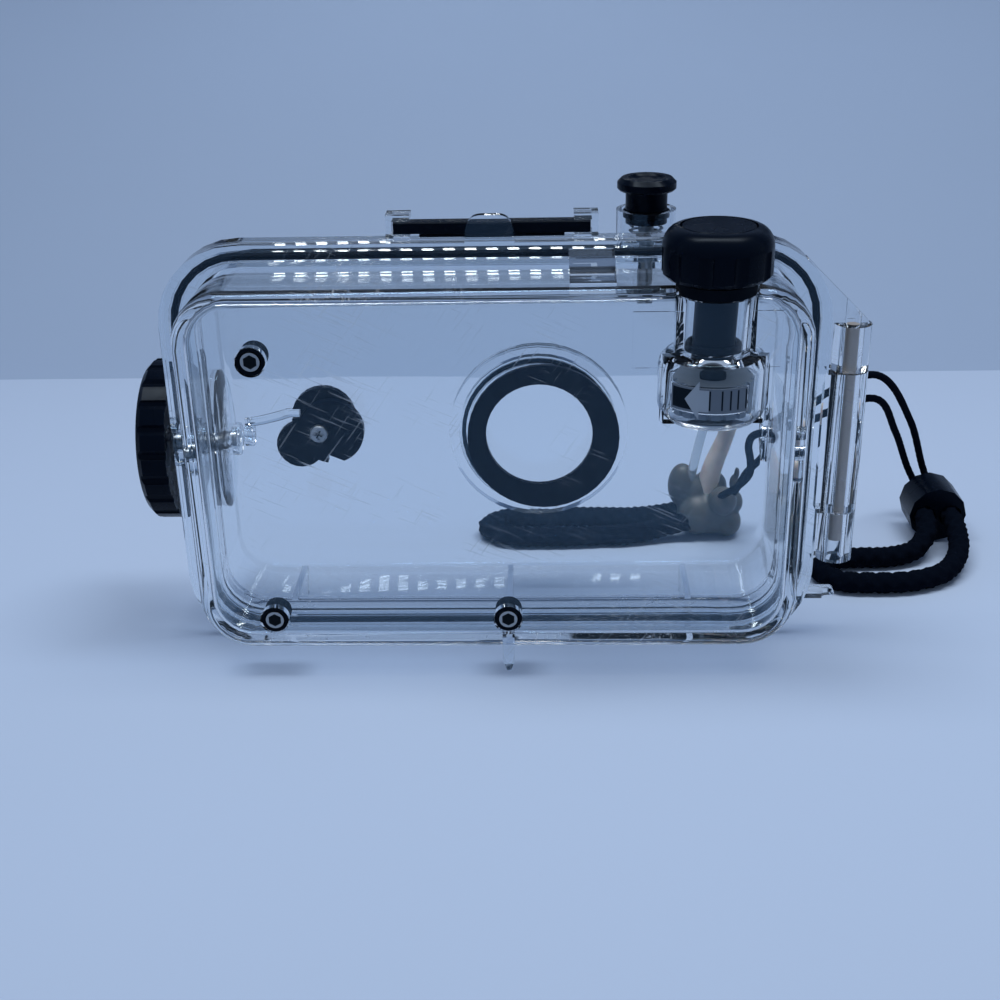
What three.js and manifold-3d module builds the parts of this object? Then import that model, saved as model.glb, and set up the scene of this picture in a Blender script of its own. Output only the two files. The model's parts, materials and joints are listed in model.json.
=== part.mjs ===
// Clear underwater camera housing: a front case with the lens port, a hinged rear door,
// a tall control knob, a side wheel with its crank and cam, a shutter button, a top latch
// and a wrist strap. Millimetres. X is the operator's right, Y points from the operator
// through the lens port, Z is up. The origin is at the bottom of the door's flange,
// midway along its length and midway through its thickness.
import * as THREE from 'three';
import { mergeVertices } from 'three/addons/utils/BufferGeometryUtils.js';
import Module from 'manifold-3d';

const wasm = await Module();
wasm.setup();

// Fits and facets
const gap = 0.3;
const overrun = 1;
const weldShare = 1e-6;
const cornerSteps = 7;
const roundSteps = 3;
const fineSides = 40;
const sides = 24;
const smallSides = 12;
const cordSides = 8;
const knobSides = 60;
const quarter = Math.PI / 2;

// Shells
const faceWidth = 150;
const faceHeight = 93.5;
const cornerRadius = 13.5;
const wall = 3;
const edgeRound = 3;
const innerRound = 1.6;
const flangeReach = 6.6;
const flangeDrop = 1.2;
const flangeThick = 4;
const doorDepth = 22;
const caseDepth = 24.7;
const jointY = flangeThick / 2;
const caseStartY = jointY + gap;
const flangeBackY = caseStartY + flangeThick;
const faceY = jointY - doorDepth;
const frontY = caseStartY + caseDepth;
const frontInnerY = frontY - wall;
const faceInnerY = faceY + wall;
const bottomZ = flangeReach + flangeDrop;
const midZ = bottomZ + faceHeight / 2;
const topZ = bottomZ + faceHeight;
const flangeTopZ = topZ + flangeReach;
const sideX = faceWidth / 2;
const flangeX = sideX + flangeReach;

// Main seal
const sealRadius = 0.95;
const sealInset = 3.3;
const sealSides = 8;

// Door hinge
const hingeReach = 5.9;
const hingeX = flangeX + hingeReach;
const hingeY = jointY + gap / 2;
const knuckleRadius = 4.6;
const pinRadius = 1.7;
const pinBore = pinRadius + gap;
const knuckleSetLow = 15;
const knuckleSetHigh = 15.2;
const knuckleLowZ = bottomZ + knuckleSetLow;
const knuckleHighZ = topZ - knuckleSetHigh;
const lowerKnuckle = 14.2;
const upperKnuckle = 11.9;
const doorKnuckleLowZ = knuckleLowZ + lowerKnuckle;
const doorKnuckleHighZ = knuckleHighZ - upperKnuckle;
const pinRecess = 5.5;

// Lens port
const portX = 10.7;
const portDrop = 5.65;
const portZ = midZ - portDrop;
const portRise = 4;
const portBore = 18.9;
const windowLand = 2.4;
const windowRadius = portBore + windowLand;
const windowThick = 1.8;
const windowSeat = windowThick + 2 * gap;
const portRim = 2.6;
const portRadius = windowRadius + gap + portRim;
const maskLap = 1.5;
const maskRadius = portBore + maskLap;
const maskWidth = 6.1;
const maskHole = maskRadius - maskWidth;
const maskThick = 1.5;
const maskSetX = 1.3;
const maskX = portX + maskSetX;
const maskZ = portZ;
const maskShiftX = -1.1;
const maskShiftZ = 0.9;
const portSealSet = 0.8;
const portSealInner = portBore + portSealSet;
const portSealWidth = 1.1;

// Foot ribs
const ribXs = [-55.5, 2.6, 50.5];
const ribThick = 1.6;
const ribEnd = 1.5;
const footX = 2.9;
const footWidth = 3;
const footTip = 1.1;
const footProud = 0.8;
const footDepth = 4.2;
const footTall = 7;
const footLift = 2.2;

// Lower strap tab on the case flange
const tabPast = 1.5;
const tabReachX = hingeX + tabPast;
const tabRise = 3.3;
const tabZ = bottomZ + tabRise;
const tabHeight = 2;

// Shutter button
const shutterX = 37.5;
const shutterY = 14;
const stemRadius = 5.1;
const bossWall = 1.3;
const bossBore = stemRadius + 3 * gap;
const bossRadius = bossBore + bossWall;
const bossHeight = 10.7;
const bossTopZ = topZ + bossHeight;
const bossFloor = 2.7;
const bossFloorZ = topZ + bossFloor;
const springRoom = 4.8;
const stemBottomZ = bossFloorZ + springRoom;
const stemGroove = 0.7;
const stemSealSet = 1.6;
const stemSealZ = stemBottomZ + stemSealSet;
const stemSealThick = 1.3;
const capRadius = 7.2;
const capThick = 3;
const capLift = 4.6;
const capTopZ = bossTopZ + capLift + capThick;
const capDish = 0.5;
const capDishRadius = 4.6;
const plungerRadius = 1.9;
const plungerReach = 6.1;
const plungerBottomZ = topZ - wall - plungerReach;
const clipRadius = 3.6;
const clipThick = 0.7;

// Return spring
const springRadius = 4;
const wireRadius = 0.34;
const springCurls = 2.6;
const stepsPerCurl = 8;
const wireSides = 5;

// Control knob and its turret on the door
const towerX = 51.8;
const towerSet = 5;
const towerY = faceY + towerSet;
const barrelRadius = 12.95;
const shoulderWidth = 3.5;
const tubeRadius = barrelRadius - shoulderWidth;
const tubeWall = 2.45;
const tubeBore = tubeRadius - tubeWall;
const tubeBelow = 2.2;
const tubeTopZ = topZ - tubeBelow;
const tubeHeight = 13.3;
const barrelTopZ = tubeTopZ - tubeHeight;
const barrelHeight = 17.3;
const barrelBottomZ = barrelTopZ - barrelHeight;
const barrelWall = 2.35;
const barrelBore = barrelRadius - barrelWall;
const barrelFloor = 2.4;
const barrelRoof = 1.8;
const shoulderRound = 3.4;
const baseRound = 4.5;
const collarThick = 2.6;
const collarRadius = tubeRadius - gap / 3;
const knobRadius = 12.65;
const knobLift = 1;
const knobBottomZ = tubeTopZ + gap + collarThick + knobLift;
const knobHeight = 11.6;
const knobTopZ = knobBottomZ + knobHeight;
const knobDome = 4.6;
const knobDiscRadius = 8.8;
const knobDiscDish = 3 * gap;
const fluteCount = 10;
const fluteRadius = 2.4;
const fluteDepth = 0.95;
const shaftRoom = 2;
const shaftRadius = tubeBore - shaftRoom;
const shaftHead = 5.5;
const driveRadius = barrelBore - 4 * gap;
const driveHeight = 7.5;
const driveTeeth = 18;
const driveToothRadius = 0.7;
const bandSet = 5.7;
const bandHeight = 5.9;
const bandLowZ = barrelBottomZ + bandSet;
const bandHighZ = bandLowZ + bandHeight;
const bandThick = 0.35;
const bandSpread = 0.73;
const bandTurn = 0.18;
const bandSteps = 12;
const padLeft = 19.2;
const padLeftX = towerX - padLeft;
const padRight = 14.7;
const padRightX = towerX + padRight;
const padBelow = 2.1;
const padTopZ = topZ - edgeRound - padBelow;
const padHeight = 13.4;
const padBottomZ = padTopZ - padHeight;
const padRise = 0.5;
const knobSealRadius = tubeBore - gap;
const knobSealThick = 1.5;

// Side wheel, crank and cam
const wheelY = 12.5;
const wheelDrop = 1.2;
const wheelZ = midZ - wheelDrop;
const wheelRadius = 20.9;
const wheelThick = 7.6;
const wheelNotches = 20;
const notchRadius = 1.5;
const notchDepth = 0.9;
const wheelChamfer = 1.4;
const axleRadius = 2;
const wheelSealRadius = axleRadius + 5 * gap;
const wheelBossWall = 2.6;
const wheelBossRadius = wheelSealRadius + gap + wheelBossWall;
const wheelSealThick = 1.4;
const wheelSealDepth = 2.2;
const plateHalfHeight = 19;
const plateHalfDepth = 9.8;
const plateRise = 2.6;
const crankThick = 1.6;
const crankPinRadius = 0.8;
const crankOffset = 3;
const crankRim = 0.5;
const crankRadius = crankOffset + crankPinRadius + crankRim;
const eyeClear = 3 * gap;
const eyeThick = 2;
const crankPinReach = eyeClear + eyeThick + gap;
const eyeRoom = 1.1;
const eyeHole = crankPinRadius + eyeRoom;
const eyeRim = 1.2;
const eyeRadius = eyeHole + eyeRim;
const armZ = wheelZ + eyeRadius + gap;
const armRadius = 1.35;
const crankX = -sideX + wall + gap + plateRise + gap;
const eyeMidX = crankX + crankThick + eyeClear + eyeThick / 2;
const armBend = 3.2;
const armBendX = eyeMidX + armBend;
const armLevel = 7.6;
const armStraight = 3;
const pivotReach = 21.3;
const pivotX = crankX + pivotReach;
const pivotDrop = 0.75;
const pivotZ = wheelZ - pivotDrop;
const pivotRadius = 1.7;
const camShiftX = 3;
const camShiftZ = 0.1;
const camX = pivotX + camShiftX;
const camZ = pivotZ - camShiftZ;
const camRadius = 8.8;
const camThick = 2.4;
const notchInX = 1.2;
const notchInZ = 6.4;
const lobeLowLeft = 5.8;
const lobeLowDrop = 4.7;
const lobeLowX = pivotX - lobeLowLeft;
const lobeLowZ = pivotZ - lobeLowDrop;
const lobeLowRadius = 6.4;
const lobeHighRight = 0.9;
const lobeHighRise = 3;
const lobeHighX = pivotX + lobeHighRight;
const lobeHighZ = pivotZ + lobeHighRise;
const lobeHighRadius = 8.5;
const armSeat = 2.2;
const armEndX = lobeHighX - lobeHighRadius + armSeat;
const screwHeadRadius = 2.4;
const screwHeadThick = 1.4;
const screwShank = 0.8;
const screwReach = 4.5;
const crossWidth = 0.6;
const crossDepth = 0.6;

// Stops that hold the camera: place on the door's face as [x, z]
const stopSetX = 18.9;
const stopSetTop = 16.4;
const stopSetBottom = 8.6;
const stopPlaces = [
  [-sideX + stopSetX, topZ - stopSetTop],
  [-sideX + stopSetX, bottomZ + stopSetBottom],
  [footX, bottomZ + stopSetBottom],
];
const stopScrewRadius = 2.3;
const stopSleeve = 0.8;
const stopRadius = stopScrewRadius + gap + stopSleeve;
const stopReach = 4.2;
const socketRadius = 1.5;
const socketDepth = 2;
const screwSet = 0.2;
const sleeveSet = 0.4;

// Top latch
const bracketOuterX = 25.4;
const bracketWidth = 5.8;
const bracketWeb = 1.5;
const bracketSlab = 1.4;
const latchHeight = 2.8;
const latchDepth = 3.6;
const latchLift = 1.2;
const latchTravel = 2;
const bracketTopZ = flangeTopZ + latchLift + latchHeight + gap + bracketSlab;
const bracketBackY = caseStartY + gap + latchDepth + latchTravel + gap;
const lipHalf = 17.4;
const lipBack = 0.8;
const domeX = -0.4;
const domeHalf = 5.9;
const domeHeight = 6.6;
const domeThick = 2;
const domeSwell = 0.7;
const wedgeX = 23.6;
const wedgeWidth = 10.7;
const wedgeHeight = 5;
const wedgeNose = 0.8;

// Strap: the eye on the case, then each cord's route as chosen points
const eyeX = 73;
const strapEyeSet = 4;
const strapEyeY = frontY + strapEyeSet;
const strapEyeZ = 47.2;
const strapEyeReach = 7.2;
const strapEyeHalf = 7;
const strapEyeNose = 2.8;
const strapEyeThick = 3.6;
const strapEyeHole = 2.1;
const strandRadius = 1.1;
const braidRadius = 3.1;
const sleeveRadius = 2.5;
const stripRadius = 1.4;
const knotRadius = 3;
const knotPlace = [77.4, 38, 43.4];
const keeperPlace = [61, 66, 12.2];
const keeperHalf = [10.6, 8.6, 11.8];
const keeperFlat = 0.5;
const ferrulePlace = [130, 62.5, 9];
const ferruleRadius = 8.4;
const ferruleHalf = 6.5;
const upperStrandRoute = [
  [131.6, 67, 9], [131.9, 73, 9.8], [129.8, 76.5, 16], [122, 68, 35], [106, 50.5, 55.6],
  [90, 42.5, 53.2], [81, 35.6, 49.6], [76.4, 32, 47.9], [73, 31, 47.2], [69.6, 32.2, 45.6],
  [69, 36.5, 41], [70.6, 42, 34], [71.4, 48, 27], [68.8, 53.6, 20.6],
  [65.4, 58.2, 16], [63.6, 61.2, 13.4],
];
const lowerStrandRoute = [
  [128.4, 67, 9], [128.2, 72.5, 9.8], [125, 75, 16], [117.5, 66, 32], [106.5, 51, 48.3],
  [91, 43.8, 47.2], [83.2, 40.6, 45.4], [77.4, 38, 43.4], [75.6, 41.6, 39], [74.6, 47.4, 32.6],
  [71.4, 53.8, 25], [69.8, 58.8, 18.2], [67.8, 63, 12.6],
];
const sleeveRoute = [[61.2, 66.5, 10.2], [62.9, 66.5, 20.7], [66.7, 65.5, 32.7], [68.2, 62.5, 43.7]];
const stripRoute = [
  [55.4, 65.8, 12.6], [56.9, 65.5, 20.7], [59.4, 65.5, 32.7], [61.5, 63.1, 43.7],
  [63.3, 61.3, 50.7], [66.1, 60.9, 53.2], [68.5, 61.4, 49.7], [68.6, 62.3, 45.1],
];
const leftBraidRoute = [
  [56, 62, 6], [49, 61.2, 4.6], [41, 59.4, 3.4], [28, 57.6, 3.2], [12, 57, 3.2], [0, 58.2, 3.2],
  [-5.4, 64, 3.2], [0, 69.8, 3.2], [12, 71, 3.2], [28, 71, 3.2], [41, 70.6, 3.4],
  [49, 70.2, 4.6], [56, 70, 6],
];
const rightBraidRoute = [
  [133.8, 58, 9], [133.8, 49, 7.6], [132, 39, 5], [126, 30, 3.5], [116, 25, 3.2],
  [104, 24, 3.2], [95, 25.4, 3.2], [91, 31.7, 3.2], [95, 38.2, 3.2], [104, 39.6, 3.2],
  [113, 40.2, 3.2], [120.5, 43, 4], [125.2, 49, 7], [126.2, 58, 9],
];
const strandSteps = 52;
const braidSteps = 46;
const stripSteps = 30;
const sleeveSteps = 16;

const material = (color, roughness, metalness = 0) =>
  new THREE.MeshStandardMaterial({ color, roughness, metalness });
const clearPlastic = new THREE.MeshStandardMaterial({
  color: 0xc4d4e8, roughness: 0.12, metalness: 0, transparent: true, opacity: 0.35,
});
const blackPlastic = material(0x12161d, 0.5);
const greyPlastic = material(0x2b323b, 0.6);
const blackRubber = material(0x0c0e12, 0.85);
const steel = material(0x9a9c9c, 0.35, 1);
const bandPlastic = material(0x66707c, 0.45);
const lightPlastic = material(0x6b7580, 0.5);
const cordBlack = material(0x11151c, 0.95);
const silicone = material(0xb9c3c9, 0.5);

// Closed solids from three.js geometry
function solid(geometry) {
  const bare = geometry.clone();
  bare.deleteAttribute('normal');
  bare.deleteAttribute('uv');
  const scale = new THREE.Box3().setFromBufferAttribute(bare.attributes.position);
  const size = scale.getSize(new THREE.Vector3()).length();
  const merged = mergeVertices(bare, size * weldShare);
  const places = merged.attributes.position;
  const faces = [];
  let volume = 0;
  const a = new THREE.Vector3();
  const b = new THREE.Vector3();
  const c = new THREE.Vector3();
  for (let i = 0; i < merged.index.count; i += 3) {
    const [p, q, r] = [0, 1, 2].map((k) => merged.index.getX(i + k));
    if (p === q || q === r || r === p) continue;
    faces.push([p, q, r]);
    a.fromBufferAttribute(places, p);
    b.fromBufferAttribute(places, q);
    c.fromBufferAttribute(places, r);
    volume += a.dot(b.cross(c));
  }
  const turned = volume < 0 ? faces.map(([p, q, r]) => [p, r, q]) : faces;
  return new wasm.Manifold(new wasm.Mesh({
    numProp: 3,
    vertProperties: new Float32Array(places.array),
    triVerts: new Uint32Array(turned.flat()),
  }));
}

function join(...pieces) {
  return pieces.reduce((whole, piece) => whole.add(piece));
}

function cut(body, ...tools) {
  return tools.reduce((left, tool) => left.subtract(tool), body);
}

function toMesh(name, body, finish) {
  const source = body.getMesh();
  const geometry = new THREE.BufferGeometry();
  const places = new THREE.BufferAttribute(new Float32Array(source.vertProperties), 3);
  geometry.setAttribute('position', places);
  geometry.setIndex(new THREE.BufferAttribute(new Uint32Array(source.triVerts), 1));
  geometry.computeVertexNormals();
  const mesh = new THREE.Mesh(geometry, finish);
  mesh.name = name;
  return mesh;
}

function block(x0, x1, y0, y1, z0, z1) {
  const geometry = new THREE.BoxGeometry(x1 - x0, y1 - y0, z1 - z0);
  geometry.translate((x0 + x1) / 2, (y0 + y1) / 2, (z0 + z1) / 2);
  return solid(geometry);
}

// A revolved profile of [radius, height] points, its height along the named axis
function revolve(profile, axis, first, second, steps = sides) {
  const points = profile.map(([radius, height]) => new THREE.Vector2(radius, height));
  const geometry = new THREE.LatheGeometry(points, steps);
  if (axis === 'z') geometry.rotateX(quarter).translate(first, second, 0);
  if (axis === 'y') geometry.translate(first, 0, second);
  if (axis === 'x') geometry.rotateZ(-quarter).translate(0, first, second);
  return solid(geometry);
}

function rod(axis, radius, from, to, first, second, steps = sides) {
  return revolve([[0, from], [radius, from], [radius, to], [0, to]], axis, first, second, steps);
}

function washer(axis, inner, outer, from, to, first, second, steps = sides) {
  const profile = [[inner, from], [outer, from], [outer, to], [inner, to], [inner, from]];
  return revolve(profile, axis, first, second, steps);
}

// A flat outline in X and Z, given its thickness along Y
function plate(outline, fromY, toY, steps = sides) {
  const options = { depth: toY - fromY, bevelEnabled: false, curveSegments: steps };
  const geometry = new THREE.ExtrudeGeometry(outline, options);
  return solid(geometry.rotateX(quarter).translate(0, toY, 0));
}

function polygon(points) {
  return new THREE.Shape(points.map(([x, z]) => new THREE.Vector2(x, z)));
}

// A flat outline in Y and Z, given its thickness along X
function sidePlate(points, fromX, toX) {
  const outline = polygon(points);
  const geometry = new THREE.ExtrudeGeometry(outline, { depth: toX - fromX, bevelEnabled: false });
  return solid(geometry.rotateX(quarter).rotateZ(quarter).translate(fromX, 0, 0));
}

// Rounded rectangles, inset from the shell's outline, their lower half dropped, stacked along Y
function outlineRing(inset, drop = 0) {
  const radius = cornerRadius - inset;
  const reachX = sideX - cornerRadius;
  const reachZ = faceHeight / 2 - cornerRadius;
  const ring = [];
  for (let corner = 0; corner < 4; corner++) {
    const signX = corner === 0 || corner === 3 ? 1 : -1;
    const signZ = corner < 2 ? 1 : -1;
    for (let step = 0; step <= cornerSteps; step++) {
      const angle = quarter * (corner + step / cornerSteps);
      const x = signX * reachX + radius * Math.cos(angle);
      const z = midZ + signZ * reachZ + radius * Math.sin(angle);
      ring.push([x, signZ < 0 ? z - drop : z]);
    }
  }
  return ring;
}

function stack(sections, closed = false) {
  const places = [];
  const faces = [];
  const count = outlineRing(0).length;
  for (const [y, inset, drop] of sections) {
    for (const [x, z] of outlineRing(inset, drop)) places.push(x, y, z);
  }
  const last = closed ? sections.length : sections.length - 1;
  for (let row = 0; row < last; row++) {
    for (let i = 0; i < count; i++) {
      const next = (i + 1) % count;
      const above = (row + 1) % sections.length;
      const [p, q] = [row * count + i, row * count + next];
      const [r, s] = [above * count + i, above * count + next];
      faces.push(p, q, s, p, s, r);
    }
  }
  if (!closed) {
    for (const row of [0, sections.length - 1]) {
      places.push(0, sections[row][0], midZ);
      const centre = places.length / 3 - 1;
      for (let i = 0; i < count; i++) {
        const pair = [row * count + i, row * count + (i + 1) % count];
        if (row === 0) pair.reverse();
        faces.push(centre, ...pair);
      }
    }
  }
  const geometry = new THREE.BufferGeometry();
  geometry.setAttribute('position', new THREE.BufferAttribute(new Float32Array(places), 3));
  geometry.setIndex(faces);
  return solid(geometry);
}

// Sections that round an edge of the given radius where a shell meets its flat face
function roundedEnd(flatY, direction, radius, inset) {
  const sections = [];
  for (let step = 0; step <= roundSteps; step++) {
    const angle = quarter * (1 - step / roundSteps);
    const y = flatY + direction * radius * (1 - Math.sin(angle));
    sections.push([y, inset + radius * (1 - Math.cos(angle))]);
  }
  return sections;
}

function shellBody(openY, flatY, direction) {
  const outer = roundedEnd(flatY, -direction, edgeRound, 0).reverse();
  const inner = roundedEnd(flatY - direction * wall, -direction, innerRound, wall).reverse();
  const solidPart = stack([[openY, 0], ...outer]);
  const hollow = stack([[openY - direction * overrun, wall], ...inner]);
  return [solidPart, hollow];
}

function flangePlate(fromY, toY) {
  return stack([[fromY, -flangeReach, flangeDrop], [toY, -flangeReach, flangeDrop]]);
}

function sealGroove() {
  const half = sealRadius + gap;
  const middle = sealInset - flangeReach;
  const low = hingeY - half;
  const high = hingeY + half;
  const [outer, inner] = [middle - half, middle + half];
  const drop = flangeDrop / 2;
  return stack([[low, outer, drop], [high, outer, drop], [high, inner, drop], [low, inner, drop]],
    true);
}

function mainSeal() {
  const middle = sealInset - flangeReach;
  const sections = [];
  for (let k = 0; k < sealSides; k++) {
    const angle = 2 * Math.PI * (k + 1 / 2) / sealSides;
    sections.push([hingeY + sealRadius * Math.sin(angle), middle + sealRadius * Math.cos(angle),
      flangeDrop / 2]);
  }
  return stack(sections, true);
}

// Hinge knuckles
function knuckle(fromZ, toZ, webFromY, webToY) {
  const barrel = rod('z', knuckleRadius, fromZ, toZ, hingeX, hingeY, sides);
  const web = block(flangeX - overrun, hingeX, webFromY, webToY, fromZ, toZ);
  return join(barrel, web);
}

function hingeBore() {
  return rod('z', pinBore, bottomZ, flangeTopZ, hingeX, hingeY, smallSides);
}

function hingeGusset() {
  const arcX = flangeX - cornerRadius - flangeReach;
  const arcZ = flangeTopZ - cornerRadius - flangeReach;
  const touch = (cornerRadius + flangeReach) * Math.SQRT1_2;
  const startX = arcX + touch;
  const startZ = arcZ + touch;
  const endX = startX + (startZ - knuckleHighZ);
  const outline = polygon([
    [startX, startZ], [endX, knuckleHighZ], [endX, doorKnuckleHighZ + gap],
    [flangeX - overrun, doorKnuckleHighZ + gap], [arcX, arcZ],
  ]);
  return plate(outline, caseStartY, flangeBackY);
}

// Case details
function portCuts() {
  const seatY = frontY + portRise - windowSeat;
  return [
    rod('y', portBore, frontInnerY - overrun, frontY + portRise + overrun, portX, portZ, fineSides),
    rod('y', windowRadius + gap, seatY, frontY + portRise + overrun, portX, portZ, fineSides),
    washer('y', portSealInner - gap, portSealInner + portSealWidth + gap,
      seatY - portSealWidth, seatY + gap, portX, portZ, fineSides),
  ];
}

function footRibs() {
  return ribXs.map((x) => sidePlate([
    [flangeBackY - overrun, bottomZ + overrun], [flangeBackY - overrun, 0],
    [frontY - edgeRound - ribEnd, 0], [frontY - ribEnd, bottomZ - ribEnd],
    [frontY - edgeRound, bottomZ + overrun],
  ], x - ribThick / 2, x + ribThick / 2));
}

function strapTab() {
  const half = tabHeight / 2;
  const outline = new THREE.Shape();
  outline.moveTo(sideX - cornerRadius, tabZ - half);
  outline.lineTo(tabReachX - half, tabZ - half);
  outline.absarc(tabReachX - half, tabZ, half, -quarter, quarter, false);
  outline.lineTo(sideX - cornerRadius, tabZ + half);
  outline.closePath();
  return plate(outline, caseStartY, flangeBackY, smallSides);
}

function shutterBoss() {
  return rod('z', bossRadius, topZ - wall, bossTopZ, shutterX, shutterY);
}

function shutterCuts() {
  return [
    rod('z', bossBore, bossFloorZ, bossTopZ + overrun, shutterX, shutterY),
    rod('z', plungerRadius + gap, topZ - wall - overrun, bossFloorZ + overrun, shutterX, shutterY),
  ];
}

function frontCase() {
  const [body, hollow] = shellBody(caseStartY, frontY, 1);
  const port = rod('y', portRadius, frontInnerY, frontY + portRise, portX, portZ, fineSides);
  const wheelBoss = rod('x', wheelBossRadius, -flangeX - gap, -sideX + wall / 2, wheelY, wheelZ);
  const outside = join(body, flangePlate(caseStartY, flangeBackY), port, wheelBoss, strapEye(),
    shutterBoss(), ...footRibs(), strapTab(), hingeGusset(),
    knuckle(doorKnuckleHighZ + gap, knuckleHighZ, caseStartY, flangeBackY),
    knuckle(knuckleLowZ, doorKnuckleLowZ - gap, caseStartY, flangeBackY));
  const axleBore = rod('x', axleRadius + gap, -flangeX - overrun, -sideX + wall + overrun,
    wheelY, wheelZ, smallSides);
  const post = cut(
    rod('y', pivotRadius, camFrontY() - gap, frontInnerY + overrun, pivotX, pivotZ, smallSides),
    rod('y', screwShank + gap, camFrontY() - overrun, camFrontY() + screwReach, pivotX, pivotZ,
      smallSides));
  const wheelSealX = -flangeX + wheelSealDepth;
  const axleGroove = rod('x', wheelSealRadius + gap, wheelSealX - gap,
    wheelSealX + wheelSealThick + gap, wheelY, wheelZ, smallSides);
  const shell = cut(outside, hollow, ...portCuts(), ...shutterCuts(), axleBore, axleGroove,
    hingeBore(), sealGroove());
  return join(shell, post);
}

function camFrontY() {
  return frontInnerY - 2 * (camThick + gap);
}

// Door details
// Room inside the turret, and above its tube for the collar
function turretCuts() {
  return [
    rod('z', barrelRadius - gap, barrelBottomZ + gap, barrelTopZ - gap, towerX, towerY, fineSides),
    rod('z', tubeRadius - gap, barrelTopZ - overrun, tubeTopZ, towerX, towerY, fineSides),
    rod('z', tubeRadius + gap, tubeTopZ, topZ + overrun, towerX, towerY, fineSides),
  ];
}

function doorFoot() {
  const half = footWidth / 2;
  const tip = footTip / 2;
  const outline = polygon([
    [footX - half, bottomZ + footTall], [footX + half, bottomZ + footTall],
    [footX + half, footLift + footWidth], [footX + tip, footLift], [footX - tip, footLift],
    [footX - half, footLift + footWidth],
  ]);
  return plate(outline, faceY - footProud, faceY + footDepth);
}

function catchWedge() {
  return sidePlate([
    [faceY + edgeRound, topZ - wall / 2], [-flangeThick / 2 + overrun, topZ - wall / 2],
    [-flangeThick / 2 + overrun, topZ + wedgeHeight], [-flangeThick / 2 - overrun, topZ + wedgeHeight],
    [faceY + edgeRound, topZ + wedgeNose],
  ], wedgeX - wedgeWidth / 2, wedgeX + wedgeWidth / 2);
}

function turretPad() {
  return block(padLeftX, padRightX, faceY - padRise, faceY + wall / 2, padBottomZ, padTopZ);
}

function domeTab() {
  const outline = new THREE.Shape();
  outline.moveTo(domeX - domeHalf, flangeTopZ - overrun);
  outline.lineTo(domeX - domeHalf, flangeTopZ);
  outline.bezierCurveTo(domeX - domeHalf, flangeTopZ + domeHeight + domeSwell,
    domeX - domeHalf / 2, flangeTopZ + domeHeight, domeX, flangeTopZ + domeHeight);
  outline.bezierCurveTo(domeX + domeHalf / 2, flangeTopZ + domeHeight,
    domeX + domeHalf, flangeTopZ + domeHeight + domeSwell, domeX + domeHalf, flangeTopZ);
  outline.lineTo(domeX + domeHalf, flangeTopZ - overrun);
  outline.closePath();
  return plate(outline, -flangeThick / 2, -flangeThick / 2 + domeThick, smallSides);
}

function rearDoor() {
  const [body, hollow] = shellBody(jointY, faceY, -1);
  const outside = join(body, flangePlate(-flangeThick / 2, jointY), doorFoot(), catchWedge(),
    turretPad(), domeTab(),
    knuckle(doorKnuckleLowZ, doorKnuckleHighZ, -flangeThick / 2, jointY));
  const holes = stopPlaces.map(([x, z]) =>
    rod('y', stopRadius + gap, faceY - overrun, faceInnerY + overrun, x, z));
  const shell = cut(outside, hollow, hingeBore(), sealGroove(), ...turretCuts(), ...holes);
  return cut(join(shell, turret()), bandRecess());
}

// Port pieces
function maskRing() {
  const ring = rod('y', maskRadius, frontInnerY - gap - maskThick, frontInnerY - gap, maskX, maskZ,
    fineSides);
  const hole = rod('y', maskHole, frontInnerY - maskThick - overrun, frontInnerY + overrun,
    maskX + maskShiftX, maskZ + maskShiftZ, fineSides);
  return cut(ring, hole);
}

function portWindow() {
  const seatY = frontY + portRise - windowSeat + gap;
  return rod('y', windowRadius, seatY, seatY + windowThick, portX, portZ, fineSides);
}

function portSeal() {
  const backY = frontY + portRise - windowSeat;
  return washer('y', portSealInner, portSealInner + portSealWidth, backY + gap - portSealWidth,
    backY, portX, portZ, fineSides);
}

function hingePin() {
  return rod('z', pinRadius, knuckleLowZ + pinRecess, knuckleHighZ - gap, hingeX, hingeY,
    smallSides);
}

// Shutter button pieces
function shutterButton() {
  const profile = [
    [0, stemBottomZ], [stemRadius, stemBottomZ],
    [stemRadius, stemSealZ - gap], [stemRadius - stemGroove - gap, stemSealZ - gap],
    [stemRadius - stemGroove - gap, stemSealZ + stemSealThick + gap],
    [stemRadius, stemSealZ + stemSealThick + gap], [stemRadius, capTopZ - capThick],
    [capRadius - capDish, capTopZ - capThick], [capRadius, capTopZ - capThick + capDish],
    [capRadius, capTopZ - 2 * capDish], [capRadius - 2 * capDish, capTopZ],
    [capDishRadius, capTopZ], [capDishRadius - capDish, capTopZ - capDish],
    [0, capTopZ - capDish],
  ];
  const bore = rod('z', plungerRadius + gap, stemBottomZ - overrun, stemSealZ, shutterX, shutterY,
    smallSides);
  return cut(revolve(profile, 'z', shutterX, shutterY), bore);
}

function shutterSeal() {
  return washer('z', stemRadius - stemGroove, bossBore - gap, stemSealZ,
    stemSealZ + stemSealThick, shutterX, shutterY);
}

function shutterPlunger() {
  const groove = plungerRadius - gap;
  const clipZ = clipHeight();
  return revolve([
    [0, plungerBottomZ], [plungerRadius, plungerBottomZ], [plungerRadius, clipZ - gap],
    [groove - gap, clipZ - gap], [groove - gap, clipZ + clipThick + gap],
    [plungerRadius, clipZ + clipThick + gap], [plungerRadius, stemSealZ - gap],
    [0, stemSealZ - gap],
  ], 'z', shutterX, shutterY, smallSides);
}

function clipHeight() {
  return topZ - wall - gap - clipThick;
}

function shutterClip() {
  const groove = plungerRadius - gap;
  const ring = washer('z', groove, clipRadius, clipHeight(), clipHeight() + clipThick,
    shutterX, shutterY, smallSides);
  const mouth = block(shutterX - groove / 2, shutterX + groove / 2,
    shutterY - clipRadius - overrun, shutterY, clipHeight() - overrun, clipHeight() + 2 * overrun);
  return cut(ring, mouth);
}

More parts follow.
